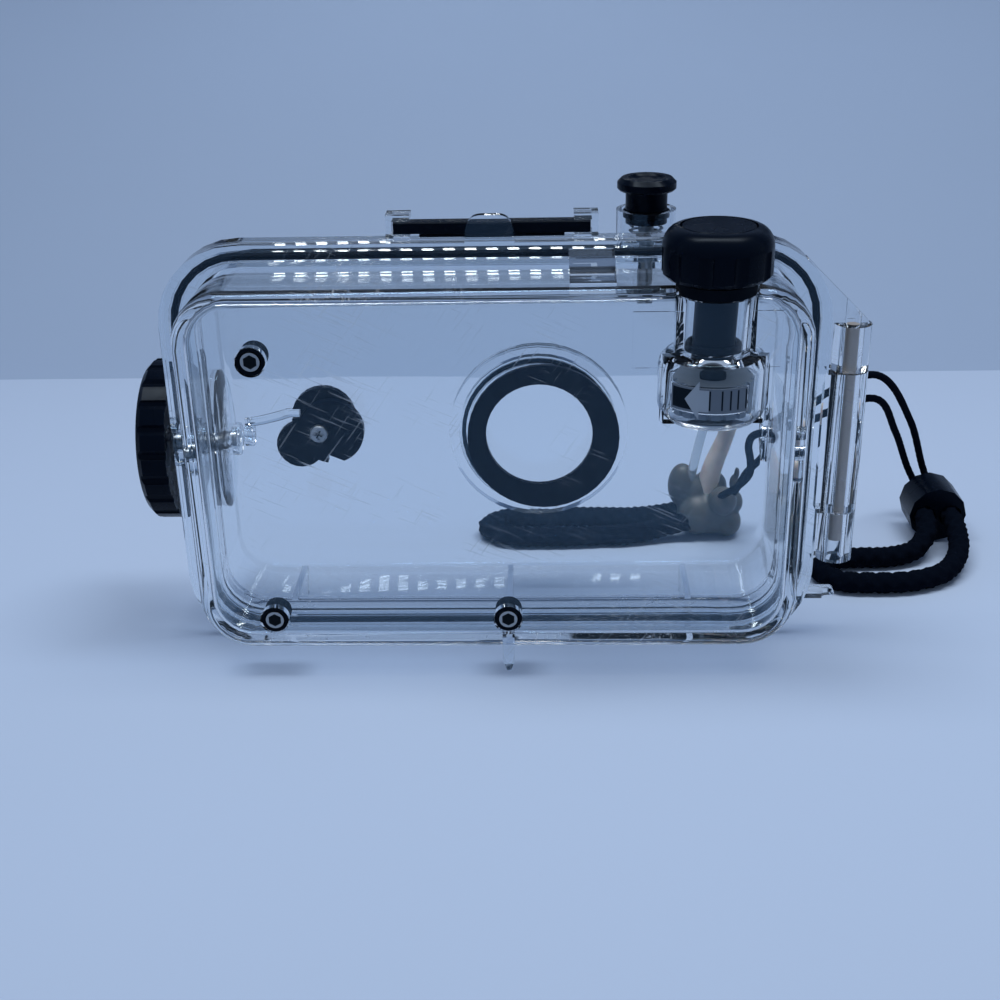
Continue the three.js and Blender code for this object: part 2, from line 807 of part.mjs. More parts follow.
// The spring: one unbroken tube that climbs at a steady rate
function springCentre(turn, lowZ, highZ) {
  const angle = 2 * Math.PI * turn;
  const share = turn / springCurls;
  return new THREE.Vector3(shutterX + springRadius * Math.cos(angle),
    shutterY + springRadius * Math.sin(angle), lowZ + (highZ - lowZ) * share);
}

function shutterSpring() {
  const lowZ = bossFloorZ + gap + wireRadius;
  const highZ = stemBottomZ - gap - wireRadius;
  const steps = Math.round(springCurls * stepsPerCurl);
  const places = [];
  const faces = [];
  const centres = [];
  for (let step = 0; step <= steps; step++) {
    const turn = springCurls * step / steps;
    const centre = springCentre(turn, lowZ, highZ);
    centres.push(centre);
    const outward = new THREE.Vector3(Math.cos(2 * Math.PI * turn), Math.sin(2 * Math.PI * turn), 0);
    for (let side = 0; side < wireSides; side++) {
      const angle = 2 * Math.PI * side / wireSides;
      places.push(centre.x + outward.x * wireRadius * Math.cos(angle),
        centre.y + outward.y * wireRadius * Math.cos(angle),
        centre.z + wireRadius * Math.sin(angle));
    }
  }
  for (let step = 0; step < steps; step++) {
    for (let side = 0; side < wireSides; side++) {
      const next = (side + 1) % wireSides;
      const [p, q] = [step * wireSides + side, step * wireSides + next];
      const [r, s] = [p + wireSides, q + wireSides];
      faces.push(p, s, q, p, r, s);
    }
  }
  for (let side = 1; side < wireSides - 1; side++) {
    faces.push(0, side, side + 1);
    const end = steps * wireSides;
    faces.push(end, end + side + 1, end + side);
  }
  const geometry = new THREE.BufferGeometry();
  geometry.setAttribute('position', new THREE.BufferAttribute(new Float32Array(places), 3));
  geometry.setIndex(faces);
  let least = Infinity;
  for (let i = 0; i < centres.length; i++) {
    for (let j = i + stepsPerCurl / 2; j < centres.length; j++) {
      least = Math.min(least, centres[i].distanceTo(centres[j]) - 2 * wireRadius);
    }
  }
  console.log(`shutter spring: least gap to itself ${least.toFixed(2)} mm`);
  return solid(geometry);
}

// Control knob pieces
function knobBody() {
  const shell = [[0, knobBottomZ], [knobRadius - edgeRound / 3, knobBottomZ],
    [knobRadius, knobBottomZ + edgeRound / 3]];
  const domeSteps = 6;
  for (let step = 0; step <= domeSteps; step++) {
    const angle = quarter * step / domeSteps;
    const radius = knobDiscRadius + (knobRadius - knobDiscRadius) * Math.cos(angle);
    shell.push([radius, knobTopZ - knobDome + knobDome * Math.sin(angle)]);
  }
  shell.push([knobDiscRadius, knobTopZ - knobDiscDish], [0, knobTopZ - knobDiscDish]);
  const body = revolve(shell, 'z', towerX, towerY, knobSides);
  const flutes = [];
  for (let i = 0; i < fluteCount; i++) {
    const angle = 2 * Math.PI * i / fluteCount;
    const reach = knobRadius - fluteDepth + fluteRadius;
    flutes.push(rod('z', fluteRadius, knobBottomZ - overrun, knobTopZ - knobDome,
      towerX + reach * Math.cos(angle), towerY + reach * Math.sin(angle)));
  }
  const bore = rod('z', shaftRadius + gap, knobBottomZ - overrun, knobBottomZ + shaftHead + gap,
    towerX, towerY);
  return cut(body, ...flutes, bore);
}

function knobDisc() {
  const baseZ = knobTopZ - knobDiscDish + gap;
  const rim = knobDiscRadius - gap;
  return revolve([[0, baseZ], [rim, baseZ], [rim, baseZ + gap], [rim - gap, baseZ + 2 * gap],
    [0, baseZ + 2 * gap]], 'z', towerX, towerY, knobSides);
}

function knobCollar() {
  const lowZ = tubeTopZ + gap;
  return washer('z', shaftRadius + gap, collarRadius, lowZ, lowZ + collarThick, towerX, towerY,
    fineSides);
}

function knobShaft() {
  return rod('z', shaftRadius, barrelBottomZ + barrelFloor + gap, knobBottomZ + shaftHead,
    towerX, towerY);
}

function driveWheel() {
  const lowZ = barrelBottomZ + barrelFloor + 3 * gap;
  const tyre = washer('z', shaftRadius + gap, driveRadius, lowZ, lowZ + driveHeight,
    towerX, towerY, fineSides);
  const grooves = [];
  for (let i = 0; i < driveTeeth; i++) {
    const angle = 2 * Math.PI * i / driveTeeth;
    grooves.push(rod('z', driveToothRadius, lowZ - overrun, lowZ + driveHeight + overrun,
      towerX + driveRadius * Math.cos(angle), towerY + driveRadius * Math.sin(angle), 6));
  }
  return cut(tyre, ...grooves);
}

function knobSeal() {
  const lowZ = barrelTopZ + gap;
  return washer('z', shaftRadius + gap, knobSealRadius, lowZ, lowZ + knobSealThick,
    towerX, towerY);
}

function turret() {
  const profile = [[0, barrelBottomZ], [barrelRadius - baseRound, barrelBottomZ]];
  for (let step = 1; step <= roundSteps; step++) {
    const angle = quarter * step / roundSteps;
    profile.push([barrelRadius - baseRound + baseRound * Math.sin(angle),
      barrelBottomZ + baseRound * (1 - Math.cos(angle))]);
  }
  for (let step = 0; step <= roundSteps; step++) {
    const angle = quarter * step / roundSteps;
    profile.push([barrelRadius - shoulderRound * (1 - Math.cos(angle)),
      barrelTopZ - shoulderRound * (1 - Math.sin(angle))]);
  }
  profile.push([tubeRadius, barrelTopZ], [tubeRadius, tubeTopZ], [tubeBore, tubeTopZ],
    [tubeBore, barrelTopZ], [shaftRadius + gap, barrelTopZ],
    [shaftRadius + gap, barrelTopZ - barrelRoof], [barrelBore, barrelTopZ - barrelRoof - gap],
    [barrelBore, barrelBottomZ + barrelFloor], [0, barrelBottomZ + barrelFloor]);
  const body = revolve(profile, 'z', towerX, towerY, fineSides);
  const mouth = block(towerX - barrelBore / 2, towerX + barrelBore / 2, towerY + driveRadius / 2,
    towerY + barrelRadius + overrun, barrelBottomZ + barrelFloor + gap, bandHighZ);
  return cut(body, mouth);
}

// A piece of a ring round the turret's front, turned a little to the operator's left
function frontArc(inner, outer, spread, fromZ, toZ) {
  const outline = new THREE.Shape();
  const start = -quarter - bandTurn - spread;
  const end = start + 2 * spread;
  outline.absarc(0, 0, outer, start, end, false);
  outline.absarc(0, 0, inner, end, start, true);
  outline.closePath();
  const options = { depth: toZ - fromZ, bevelEnabled: false, curveSegments: bandSteps };
  const geometry = new THREE.ExtrudeGeometry(outline, options);
  return solid(geometry.translate(towerX, towerY, fromZ));
}

function bandRecess() {
  return frontArc(barrelRadius - bandThick - gap, barrelRadius + overrun,
    bandSpread + gap / barrelRadius, bandLowZ - gap, bandHighZ + gap);
}

function indicatorBand() {
  return frontArc(barrelRadius - bandThick, barrelRadius, bandSpread, bandLowZ, bandHighZ);
}

// Side wheel, crank and cam
function sideWheel() {
  const innerX = -flangeX - 2 * gap;
  const outerX = innerX - wheelThick;
  const rim = wheelRadius - wheelChamfer;
  const body = revolve([[0, outerX], [rim, outerX], [wheelRadius, outerX + wheelChamfer],
    [wheelRadius, innerX], [0, innerX]], 'x', wheelY, wheelZ, fineSides + smallSides);
  const notches = [];
  for (let i = 0; i < wheelNotches; i++) {
    const angle = 2 * Math.PI * (i + 1 / 2) / wheelNotches;
    const reach = wheelRadius - notchDepth + notchRadius;
    notches.push(rod('x', notchRadius, outerX - overrun, innerX + overrun,
      wheelY + reach * Math.cos(angle), wheelZ + reach * Math.sin(angle), cordSides));
  }
  const bore = rod('x', axleRadius + gap, outerX + wheelThick / 3, innerX + overrun,
    wheelY, wheelZ, smallSides);
  return cut(body, ...notches, bore);
}

function wheelAxle() {
  const outerX = -flangeX - 2 * gap - wheelThick + wheelThick / 3 + gap;
  return rod('x', axleRadius, outerX, crankX + crankThick / 2, wheelY, wheelZ, smallSides);
}

function wheelSeal() {
  const startX = -flangeX + wheelSealDepth;
  return washer('x', axleRadius + gap, wheelSealRadius, startX, startX + wheelSealThick,
    wheelY, wheelZ, smallSides);
}

function wheelCrank() {
  const startX = crankX;
  const web = rod('x', crankRadius, startX, startX + crankThick, wheelY, wheelZ, smallSides);
  const pin = rod('x', crankPinRadius, startX + crankThick / 2, startX + crankThick + crankPinReach,
    wheelY + crankOffset, wheelZ, smallSides);
  const bore = rod('x', axleRadius + gap, startX - overrun, startX + crankThick / 2 + gap,
    wheelY, wheelZ, smallSides);
  return join(cut(web, bore), pin);
}

function bearingPlate() {
  const baseX = -sideX + wall + gap;
  const profile = [[0, 0], [plateHalfHeight, 0], [plateHalfHeight, plateRise / 4]];
  const bulgeSteps = 4;
  for (let step = 1; step <= bulgeSteps; step++) {
    const angle = quarter * step / bulgeSteps;
    profile.push([plateHalfHeight * Math.cos(angle),
      plateRise / 4 + plateRise * 3 / 4 * Math.sin(angle)]);
  }
  const points = profile.map(([radius, height]) => new THREE.Vector2(radius, height));
  const geometry = new THREE.LatheGeometry(points, sides);
  geometry.rotateZ(-quarter).scale(1, plateHalfDepth / plateHalfHeight, 1);
  geometry.translate(baseX, wheelY, wheelZ);
  const bore = rod('x', axleRadius + gap, baseX - overrun, baseX + plateRise + overrun,
    wheelY, wheelZ, smallSides);
  return cut(solid(geometry), bore);
}

function armY() {
  return camFrontY() + camThick + camThick / 2;
}

function sweep(points, radius, steps, around = cordSides) {
  const path = new THREE.CatmullRomCurve3(points.map((p) => new THREE.Vector3(...p)));
  const corners = [];
  for (let i = 0; i < around; i++) {
    const angle = 2 * Math.PI * i / around;
    corners.push([radius * Math.cos(angle), radius * Math.sin(angle)]);
  }
  const options = { steps, extrudePath: path, bevelEnabled: false };
  return solid(new THREE.ExtrudeGeometry(polygon(corners), options));
}

function crankArm() {
  const y = wheelY + crankOffset;
  const across = armY() - y;
  const rodPart = sweep([
    [eyeMidX, y, armZ], [armBendX, y + across / 4, armZ],
    [eyeMidX + armLevel, y + across * 3 / 4, armZ], [armEndX - armStraight, armY(), armZ],
    [armEndX, armY(), armZ],
  ], armRadius, sides, cordSides);
  const eye = washer('x', eyeHole, eyeRadius, eyeMidX - eyeThick / 2, eyeMidX + eyeThick / 2, y, wheelZ,
    smallSides);
  const neck = block(eyeMidX - eyeThick / 2, eyeMidX + eyeThick / 2, y - armRadius / 2, y + armRadius / 2,
    wheelZ + (eyeHole + eyeRadius) / 2, wheelZ + eyeRadius + armRadius);
  return join(eye, neck, rodPart);
}

function camBore() {
  return rod('y', pivotRadius + gap, camFrontY() - overrun, frontInnerY + overrun, pivotX, pivotZ,
    smallSides);
}

function camDisc() {
  const startY = camFrontY();
  const disc = rod('y', camRadius, startY, startY + camThick, camX, camZ, fineSides);
  const wedge = plate(polygon([
    [camX - notchInX, camZ - notchInZ], [camX + camRadius / 2, camZ - camRadius],
    [camX + camRadius, camZ - camRadius / 2], [camX + 2 * camRadius, camZ - 2 * camRadius],
    [camX - notchInX, camZ - 2 * camRadius],
  ]), startY - overrun, startY + camThick + overrun);
  return cut(disc, wedge, camBore());
}

function camLobes() {
  const startY = camFrontY() + camThick + gap;
  const endY = startY + camThick - gap;
  const low = rod('y', lobeLowRadius, startY, endY, lobeLowX, lobeLowZ, sides);
  const high = rod('y', lobeHighRadius, startY, endY, lobeHighX, lobeHighZ, sides);
  const seat = rod('x', armRadius + gap, armBendX, armEndX + gap, armY(), armZ, smallSides);
  return cut(join(low, high), seat, camBore());
}

function camScrew() {
  const headY = camFrontY() - 2 * gap - screwHeadThick;
  const head = revolve([[0, headY + screwHeadThick + screwReach], [screwShank, headY + screwHeadThick
    + screwReach], [screwShank, headY + screwHeadThick], [screwHeadRadius, headY + screwHeadThick],
  [screwHeadRadius, headY + gap], [screwHeadRadius - gap, headY], [0, headY]],
  'y', pivotX, pivotZ, smallSides);
  const arm = screwHeadRadius / 2 + crossWidth / 2;
  const deep = headY + crossDepth;
  return cut(head,
    block(pivotX - arm, pivotX + arm, headY - overrun, deep, pivotZ - crossWidth / 2,
      pivotZ + crossWidth / 2),
    block(pivotX - crossWidth / 2, pivotX + crossWidth / 2, headY - overrun, deep, pivotZ - arm,
      pivotZ + arm));
}

// Stops on the door
function stopPad([x, z]) {
  return washer('y', stopScrewRadius + gap, stopRadius, faceY + sleeveSet, faceInnerY + stopReach,
    x, z);
}

function stopScrew([x, z]) {
  const startY = faceY + screwSet;
  const body = rod('y', stopScrewRadius, startY, faceInnerY + stopReach - sleeveSet, x, z);
  const socket = rod('y', socketRadius, startY - overrun, startY + socketDepth, x, z, 6);
  return cut(body, socket);
}

// Top latch
function bracket(side) {
  const outer = side * bracketOuterX;
  const inner = side * (bracketOuterX - bracketWidth);
  const [low, high] = [Math.min(outer, inner), Math.max(outer, inner)];
  const slot = side * (bracketOuterX - bracketWeb);
  const baseZ = flangeTopZ + gap;
  const body = block(low, high, caseStartY, bracketBackY, baseZ, bracketTopZ);
  const open = [slot, inner - side * overrun].sort((a, b) => a - b);
  return cut(body, block(open[0], open[1], caseStartY - overrun, bracketBackY + overrun,
    flangeTopZ + latchLift - gap, bracketTopZ - bracketSlab));
}

function latchBar() {
  const end = bracketOuterX - bracketWeb - gap;
  const lowZ = flangeTopZ + latchLift;
  const startY = caseStartY + gap;
  const outline = [[startY, lowZ], [startY + latchDepth, lowZ],
    [startY + latchDepth, lowZ + latchHeight], [startY + gap, lowZ + latchHeight],
    [startY, lowZ + latchHeight - gap]];
  return sidePlate(outline, -end, end);
}

function latchLip() {
  const startY = caseStartY + lipBack;
  return block(-lipHalf, lipHalf, startY, startY + latchDepth / 2, flangeTopZ + gap,
    flangeTopZ + latchLift - gap);
}

// Strap pieces
function strapEye() {
  const tipY = frontY + strapEyeReach;
  const bendY = frontY + strapEyeReach / 2;
  const outline = [[frontY - wall / 2, strapEyeZ - strapEyeHalf], [bendY, strapEyeZ - strapEyeHalf],
    [tipY, strapEyeZ - strapEyeNose], [tipY, strapEyeZ + strapEyeNose],
    [bendY, strapEyeZ + strapEyeHalf], [frontY - wall / 2, strapEyeZ + strapEyeHalf]];
  const body = sidePlate(outline, eyeX - strapEyeThick / 2, eyeX + strapEyeThick / 2);
  const hole = rod('x', strapEyeHole, eyeX - strapEyeThick, eyeX + strapEyeThick,
    strapEyeY, strapEyeZ, smallSides);
  return cut(body, hole);
}

function ball(radius, place, half = [1, 1, 1], around = smallSides) {
  const geometry = new THREE.SphereGeometry(radius, around, around / 2);
  return solid(geometry.rotateX(quarter).scale(...half).translate(...place));
}

// The room a cord needs inside another piece, its blind end included
function cordBore(route, radius, steps) {
  const last = route[route.length - 1];
  return join(sweep(route, radius + gap, steps), ball(radius + 2 * gap, last, [1, 1, 1], cordSides));
}

function keeper() {
  const [x, y, z] = keeperPlace;
  const [halfX, halfY, halfZ] = keeperHalf;
  const body = ball(1, keeperPlace, keeperHalf, sides);
  const under = block(x - 2 * halfX, x + 2 * halfX, y - 2 * halfY, y + 2 * halfY, z - 2 * halfZ,
    keeperFlat);
  return cut(body, under,
    cordBore(upperStrandRoute, strandRadius, strandSteps),
    cordBore(lowerStrandRoute, strandRadius, strandSteps),
    cordBore([...sleeveRoute].reverse(), sleeveRadius, sleeveSteps),
    cordBore([...stripRoute].reverse(), stripRadius, stripSteps),
    cordBore(leftBraidRoute, braidRadius, braidSteps),
    cordBore([...leftBraidRoute].reverse(), braidRadius, braidSteps));
}

function knot() {
  return cut(ball(knotRadius, knotPlace),
    sweep(lowerStrandRoute, strandRadius + gap, strandSteps));
}

function ferrule() {
  const [x, y, z] = ferrulePlace;
  const body = rod('y', ferruleRadius, y - ferruleHalf, y + ferruleHalf, x, z, smallSides);
  return cut(body,
    cordBore([...upperStrandRoute].reverse(), strandRadius, strandSteps),
    cordBore([...lowerStrandRoute].reverse(), strandRadius, strandSteps),
    cordBore(rightBraidRoute, braidRadius, braidSteps),
    cordBore([...rightBraidRoute].reverse(), braidRadius, braidSteps));
}

const housing = new THREE.Group();
housing.name = 'underwater_camera_housing';
housing.add(
  toMesh('front_case', frontCase(), clearPlastic),
  toMesh('rear_door', rearDoor(), clearPlastic),
  toMesh('main_seal', mainSeal(), blackRubber),
  toMesh('hinge_pin', hingePin(), steel),
  toMesh('port_window', portWindow(), clearPlastic),
  toMesh('port_seal', portSeal(), blackRubber),
  toMesh('mask_ring', maskRing(), blackPlastic),
  toMesh('shutter_button', shutterButton(), blackPlastic),
  toMesh('shutter_plunger', shutterPlunger(), steel),
  toMesh('shutter_seal', shutterSeal(), blackRubber),
  toMesh('shutter_clip', shutterClip(), steel),
  toMesh('shutter_spring', shutterSpring(), steel),
  toMesh('indicator_band', indicatorBand(), bandPlastic),
  toMesh('control_knob', knobBody(), blackPlastic),
  toMesh('knob_disc', knobDisc(), blackPlastic),
  toMesh('knob_collar', knobCollar(), blackRubber),
  toMesh('knob_seal', knobSeal(), blackRubber),
  toMesh('knob_shaft', knobShaft(), greyPlastic),
  toMesh('drive_wheel', driveWheel(), lightPlastic),
  toMesh('side_wheel', sideWheel(), blackPlastic),
  toMesh('wheel_axle', wheelAxle(), steel),
  toMesh('wheel_seal', wheelSeal(), blackRubber),
  toMesh('wheel_crank', wheelCrank(), clearPlastic),
  toMesh('bearing_plate', bearingPlate(), clearPlastic),
  toMesh('crank_arm', crankArm(), clearPlastic),
  toMesh('cam_disc', camDisc(), blackPlastic),
  toMesh('cam_plate', camLobes(), blackPlastic),
  toMesh('cam_screw', camScrew(), steel),
  toMesh('latch_bracket_left', bracket(-1), clearPlastic),
  toMesh('latch_bracket_right', bracket(1), clearPlastic),
  toMesh('latch_bar', latchBar(), blackPlastic),
  toMesh('latch_lip', latchLip(), blackRubber),
  toMesh('strap_knot', knot(), cordBlack),
  toMesh('strap_keeper', keeper(), silicone),
  toMesh('strap_ferrule', ferrule(), blackPlastic),
  toMesh('strap_strand_upper', sweep(upperStrandRoute, strandRadius, strandSteps), cordBlack),
  toMesh('strap_strand_lower', sweep(lowerStrandRoute, strandRadius, strandSteps), cordBlack),
  toMesh('strap_sleeve', sweep(sleeveRoute, sleeveRadius, sleeveSteps), silicone),
  toMesh('strap_strip', sweep(stripRoute, stripRadius, stripSteps), clearPlastic),
  toMesh('wrist_braid_left', sweep(leftBraidRoute, braidRadius, braidSteps), cordBlack),
  toMesh('wrist_braid_right', sweep(rightBraidRoute, braidRadius, braidSteps), cordBlack),
);
stopPlaces.forEach((place, i) => {
  housing.add(toMesh(`stop_pad_${i + 1}`, stopPad(place), blackRubber));
  housing.add(toMesh(`stop_screw_${i + 1}`, stopScrew(place), steel));
});
export default housing;
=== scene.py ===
"""Looks for a clear underwater camera housing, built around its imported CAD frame."""
import json
import math

import bmesh
import bpy
from mathutils import Matrix, Vector

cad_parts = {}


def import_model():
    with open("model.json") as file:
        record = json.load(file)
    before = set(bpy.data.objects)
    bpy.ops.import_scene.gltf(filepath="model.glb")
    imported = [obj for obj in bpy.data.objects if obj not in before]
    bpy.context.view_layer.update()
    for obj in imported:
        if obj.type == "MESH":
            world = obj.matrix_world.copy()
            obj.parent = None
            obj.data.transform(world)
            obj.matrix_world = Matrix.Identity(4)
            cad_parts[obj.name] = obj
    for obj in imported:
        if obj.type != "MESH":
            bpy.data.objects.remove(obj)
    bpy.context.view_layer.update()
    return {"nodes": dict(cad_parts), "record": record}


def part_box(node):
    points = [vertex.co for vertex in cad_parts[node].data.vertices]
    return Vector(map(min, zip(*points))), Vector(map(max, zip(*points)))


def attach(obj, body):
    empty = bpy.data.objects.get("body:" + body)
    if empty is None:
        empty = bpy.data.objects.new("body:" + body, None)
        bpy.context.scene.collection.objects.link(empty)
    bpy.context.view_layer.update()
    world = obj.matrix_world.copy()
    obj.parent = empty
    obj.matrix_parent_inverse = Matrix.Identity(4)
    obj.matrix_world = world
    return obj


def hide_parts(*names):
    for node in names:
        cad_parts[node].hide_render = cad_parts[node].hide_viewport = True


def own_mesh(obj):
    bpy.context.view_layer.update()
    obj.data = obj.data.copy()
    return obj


MM = 0.001

# Camera: where the photograph was taken from
CAMERA_PLACE = (12.20 * MM, -327.66 * MM, 189.09 * MM)
CAMERA_FORWARD = (-0.0318, 0.9101, -0.4131)
CAMERA_ROLL = -1.2
CAMERA_LENS = 50.4
CAMERA_SENSOR = 36.0
CAMERA_CLIP = 0.01

# Strap: the routes of the CAD source, in its millimetres
STRAND_RADIUS = 1.1
BRAID_RADIUS = 3.1
SLEEVE_RADIUS = 2.5
STRIP_RADIUS = 1.4
UPPER_STRAND = [
    (131.6, 67, 9), (131.9, 73, 9.8), (129.8, 76.5, 16), (122, 68, 35), (106, 50.5, 55.6),
    (90, 42.5, 53.2), (81, 35.6, 49.6), (76.4, 32, 47.9), (73, 31, 47.2), (69.6, 32.2, 45.6),
    (69, 36.5, 41), (70.6, 42, 34), (71.4, 48, 27), (68.8, 53.6, 20.6), (65.4, 58.2, 16),
    (63.6, 61.2, 13.4)]
LOWER_STRAND = [
    (128.4, 67, 9), (128.2, 72.5, 9.8), (125, 75, 16), (117.5, 66, 32), (106.5, 51, 48.3),
    (91, 43.8, 47.2), (83.2, 40.6, 45.4), (77.4, 38, 43.4), (75.6, 41.6, 39), (74.6, 47.4, 32.6),
    (71.4, 53.8, 25), (69.8, 58.8, 18.2), (67.8, 63, 12.6)]
SLEEVE = [
    (61.2, 66.5, 10.2), (62.9, 66.5, 20.7), (66.7, 65.5, 32.7), (68.2, 62.5, 43.7)]
STRIP = [
    (55.4, 65.8, 12.6), (56.9, 65.5, 20.7), (59.4, 65.5, 32.7), (61.5, 63.1, 43.7),
    (63.3, 61.3, 50.7), (66.1, 60.9, 53.2), (68.5, 61.4, 49.7), (68.6, 62.3, 45.1)]
LEFT_BRAID = [
    (56, 62, 6), (49, 61.2, 4.6), (41, 59.4, 3.4), (28, 57.6, 3.2), (12, 57, 3.2),
    (0, 58.2, 3.2), (-5.4, 64, 3.2), (0, 69.8, 3.2), (12, 71, 3.2), (28, 71, 3.2),
    (41, 70.6, 3.4), (49, 70.2, 4.6), (56, 70, 6)]
RIGHT_BRAID = [
    (133.8, 58, 9), (133.8, 49, 7.6), (132, 39, 5), (126, 30, 3.5), (116, 25, 3.2),
    (104, 24, 3.2), (95, 25.4, 3.2), (91, 31.7, 3.2), (95, 38.2, 3.2), (104, 39.6, 3.2),
    (113, 40.2, 3.2), (120.5, 43, 4), (125.2, 49, 7), (126.2, 58, 9)]


# Objects
def from_mesh(name, mesh, material):
    """A new object of a mesh and its material, linked to the scene."""
    mesh.materials.append(material)
    piece = bpy.data.objects.new(name, mesh)
    bpy.context.scene.collection.objects.link(piece)
    return piece


def from_form(name, form, material):
    """A new object of a bmesh, which is used up."""
    mesh = bpy.data.meshes.new(name)
    form.to_mesh(mesh)
    form.free()
    return from_mesh(name, mesh, material)


# Materials
def shader(name, color, roughness=0.5, metallic=0.0, **sockets):
    """A Principled material; extra sockets are given by name with underscores for spaces."""
    material = bpy.data.materials.new(name)
    material.use_nodes = True
    bsdf = material.node_tree.nodes["Principled BSDF"]
    bsdf.inputs["Base Color"].default_value = (*color, 1)
    bsdf.inputs["Roughness"].default_value = roughness
    bsdf.inputs["Metallic"].default_value = metallic
    for key, value in sockets.items():
        bsdf.inputs[key.replace("_", " ")].default_value = value
    return material


def nodes_of(material):
    """A material's nodes, its links and its Principled node."""
    tree = material.node_tree
    return tree.nodes, tree.links, tree.nodes["Principled BSDF"]


def add_node(material, kind, **settings):
    """A new node, with its sockets or its properties set by name."""
    node = material.node_tree.nodes.new(kind)
    for key, value in settings.items():
        if key in node.inputs:
            node.inputs[key].default_value = value
        else:
            setattr(node, key, value)
    return node


def bump(material, height, strength, distance):
    """Bump the surface with a height output."""
    _, links, bsdf = nodes_of(material)
    node = add_node(material, "ShaderNodeBump", Strength=strength, Distance=distance)
    links.new(height, node.inputs["Height"])
    links.new(node.outputs["Normal"], bsdf.inputs["Normal"])


def object_noise(material, scale, detail=3.0, stretch=(1, 1, 1)):
    """Noise in the object's own metres, stretched per axis."""
    _, links, _ = nodes_of(material)
    place = add_node(material, "ShaderNodeTexCoord")
    mapping = add_node(material, "ShaderNodeMapping")
    mapping.inputs["Scale"].default_value = stretch
    noise = add_node(material, "ShaderNodeTexNoise", Scale=scale, Detail=detail)
    links.new(place.outputs["Object"], mapping.inputs["Vector"])
    links.new(mapping.outputs["Vector"], noise.inputs["Vector"])
    return noise


def ramp(material, source, low, high, first, second):
    """A ramp from one colour, at the low level, to a second at the high level."""
    _, links, _ = nodes_of(material)
    node = add_node(material, "ShaderNodeValToRGB")
    node.color_ramp.elements[0].position = low
    node.color_ramp.elements[1].position = high
    node.color_ramp.elements[0].color = (*first, 1)
    node.color_ramp.elements[1].color = (*second, 1)
    links.new(source, node.inputs["Fac"])
    return node


SCRATCH_STRETCH = 22
SCRATCHES = ((0.42, 1500, 0.64, 0.68), (-0.95, 1300, 0.65, 0.69))
SCRATCH_LOSS = 0.16
SCRATCH_ROUGHNESS = 0.15
WORN_SCALE, WORN_FROM, WORN_FULL = 40, 0.52, 0.62


def streaks(material, turn, scale, low, high):
    """Thin straight scratches, turned round Y from the object's X."""
    _, links, _ = nodes_of(material)
    place = add_node(material, "ShaderNodeTexCoord")
    mapping = add_node(material, "ShaderNodeMapping", vector_type="TEXTURE")
    mapping.inputs["Rotation"].default_value = (0, turn, 0)
    mapping.inputs["Scale"].default_value = (SCRATCH_STRETCH, 1, 1)
    noise = add_node(material, "ShaderNodeTexNoise", Scale=scale, Detail=2.0)
    links.new(place.outputs["Object"], mapping.inputs["Vector"])
    links.new(mapping.outputs["Vector"], noise.inputs["Vector"])
    return ramp(material, noise.outputs["Fac"], low, high, (0, 0, 0), (1, 1, 1)).outputs["Color"]


def combine(material, kind, first, second):
    """A Math node of two outputs, or of an output and a number."""
    _, links, _ = nodes_of(material)
    node = add_node(material, "ShaderNodeMath", operation=kind)
    for source, socket in ((first, node.inputs[0]), (second, node.inputs[1])):
        if isinstance(source, (int, float)):
            socket.default_value = source
        else:
            links.new(source, socket)
    return node.outputs[0]


def let_light_through(material, tint):
    """Let rays to lamps and soft bounced light pass clear plastic straight, as a thin wall does."""
    nodes, links, bsdf = nodes_of(material)
    path = add_node(material, "ShaderNodeLightPath")
    clear = add_node(material, "ShaderNodeBsdfTransparent", Color=(*tint, 1))
    shown = bsdf.outputs["BSDF"]
    for kind in ("Is Diffuse Ray", "Is Shadow Ray"):
        mix = add_node(material, "ShaderNodeMixShader")
        links.new(path.outputs[kind], mix.inputs[0])
        links.new(shown, mix.inputs[1])
        links.new(clear.outputs["BSDF"], mix.inputs[2])
        shown = mix.outputs["Shader"]
    links.new(shown, nodes["Material Output"].inputs["Surface"])


CLEAR_IOR = 1.45
CLEAR_ROUGHNESS = 0.015
SHADE = (0.905, 0.92, 0.94)


def clear_plastic(name, tint, haze=0.002, worn=True):
    """Clear plastic; a small share of diffuse light stands for its haze, more where it is worn."""
    material = shader(name, tint, CLEAR_ROUGHNESS, Transmission_Weight=1.0 - haze, IOR=CLEAR_IOR,
                      Specular_IOR_Level=0.15, Specular_Tint=(0.28, 0.48, 0.68, 1))
    _, links, bsdf = nodes_of(material)
    let_light_through(material, SHADE)
    if worn:
        fine, cross = [streaks(material, *scratch) for scratch in SCRATCHES]
        patches = object_noise(material, WORN_SCALE, 2)
        where = ramp(material, patches.outputs["Fac"], WORN_FROM, WORN_FULL, (0, 0, 0), (1, 1, 1))
        lines = combine(material, "MAXIMUM", fine, cross)
        marks = combine(material, "MULTIPLY", lines, where.outputs["Color"])
        loss = combine(material, "MULTIPLY", marks, SCRATCH_LOSS)
        links.new(combine(material, "SUBTRACT", 1.0 - haze, loss),
                  bsdf.inputs["Transmission Weight"])
        rough = combine(material, "MULTIPLY", marks, SCRATCH_ROUGHNESS)
        links.new(combine(material, "ADD", rough, CLEAR_ROUGHNESS), bsdf.inputs["Roughness"])
    return material


MOULDED_IOR = 1.16
MOULDED_GRAIN = 0.10
GLOSS_LOW, GLOSS_HIGH = 0.85, 1.15


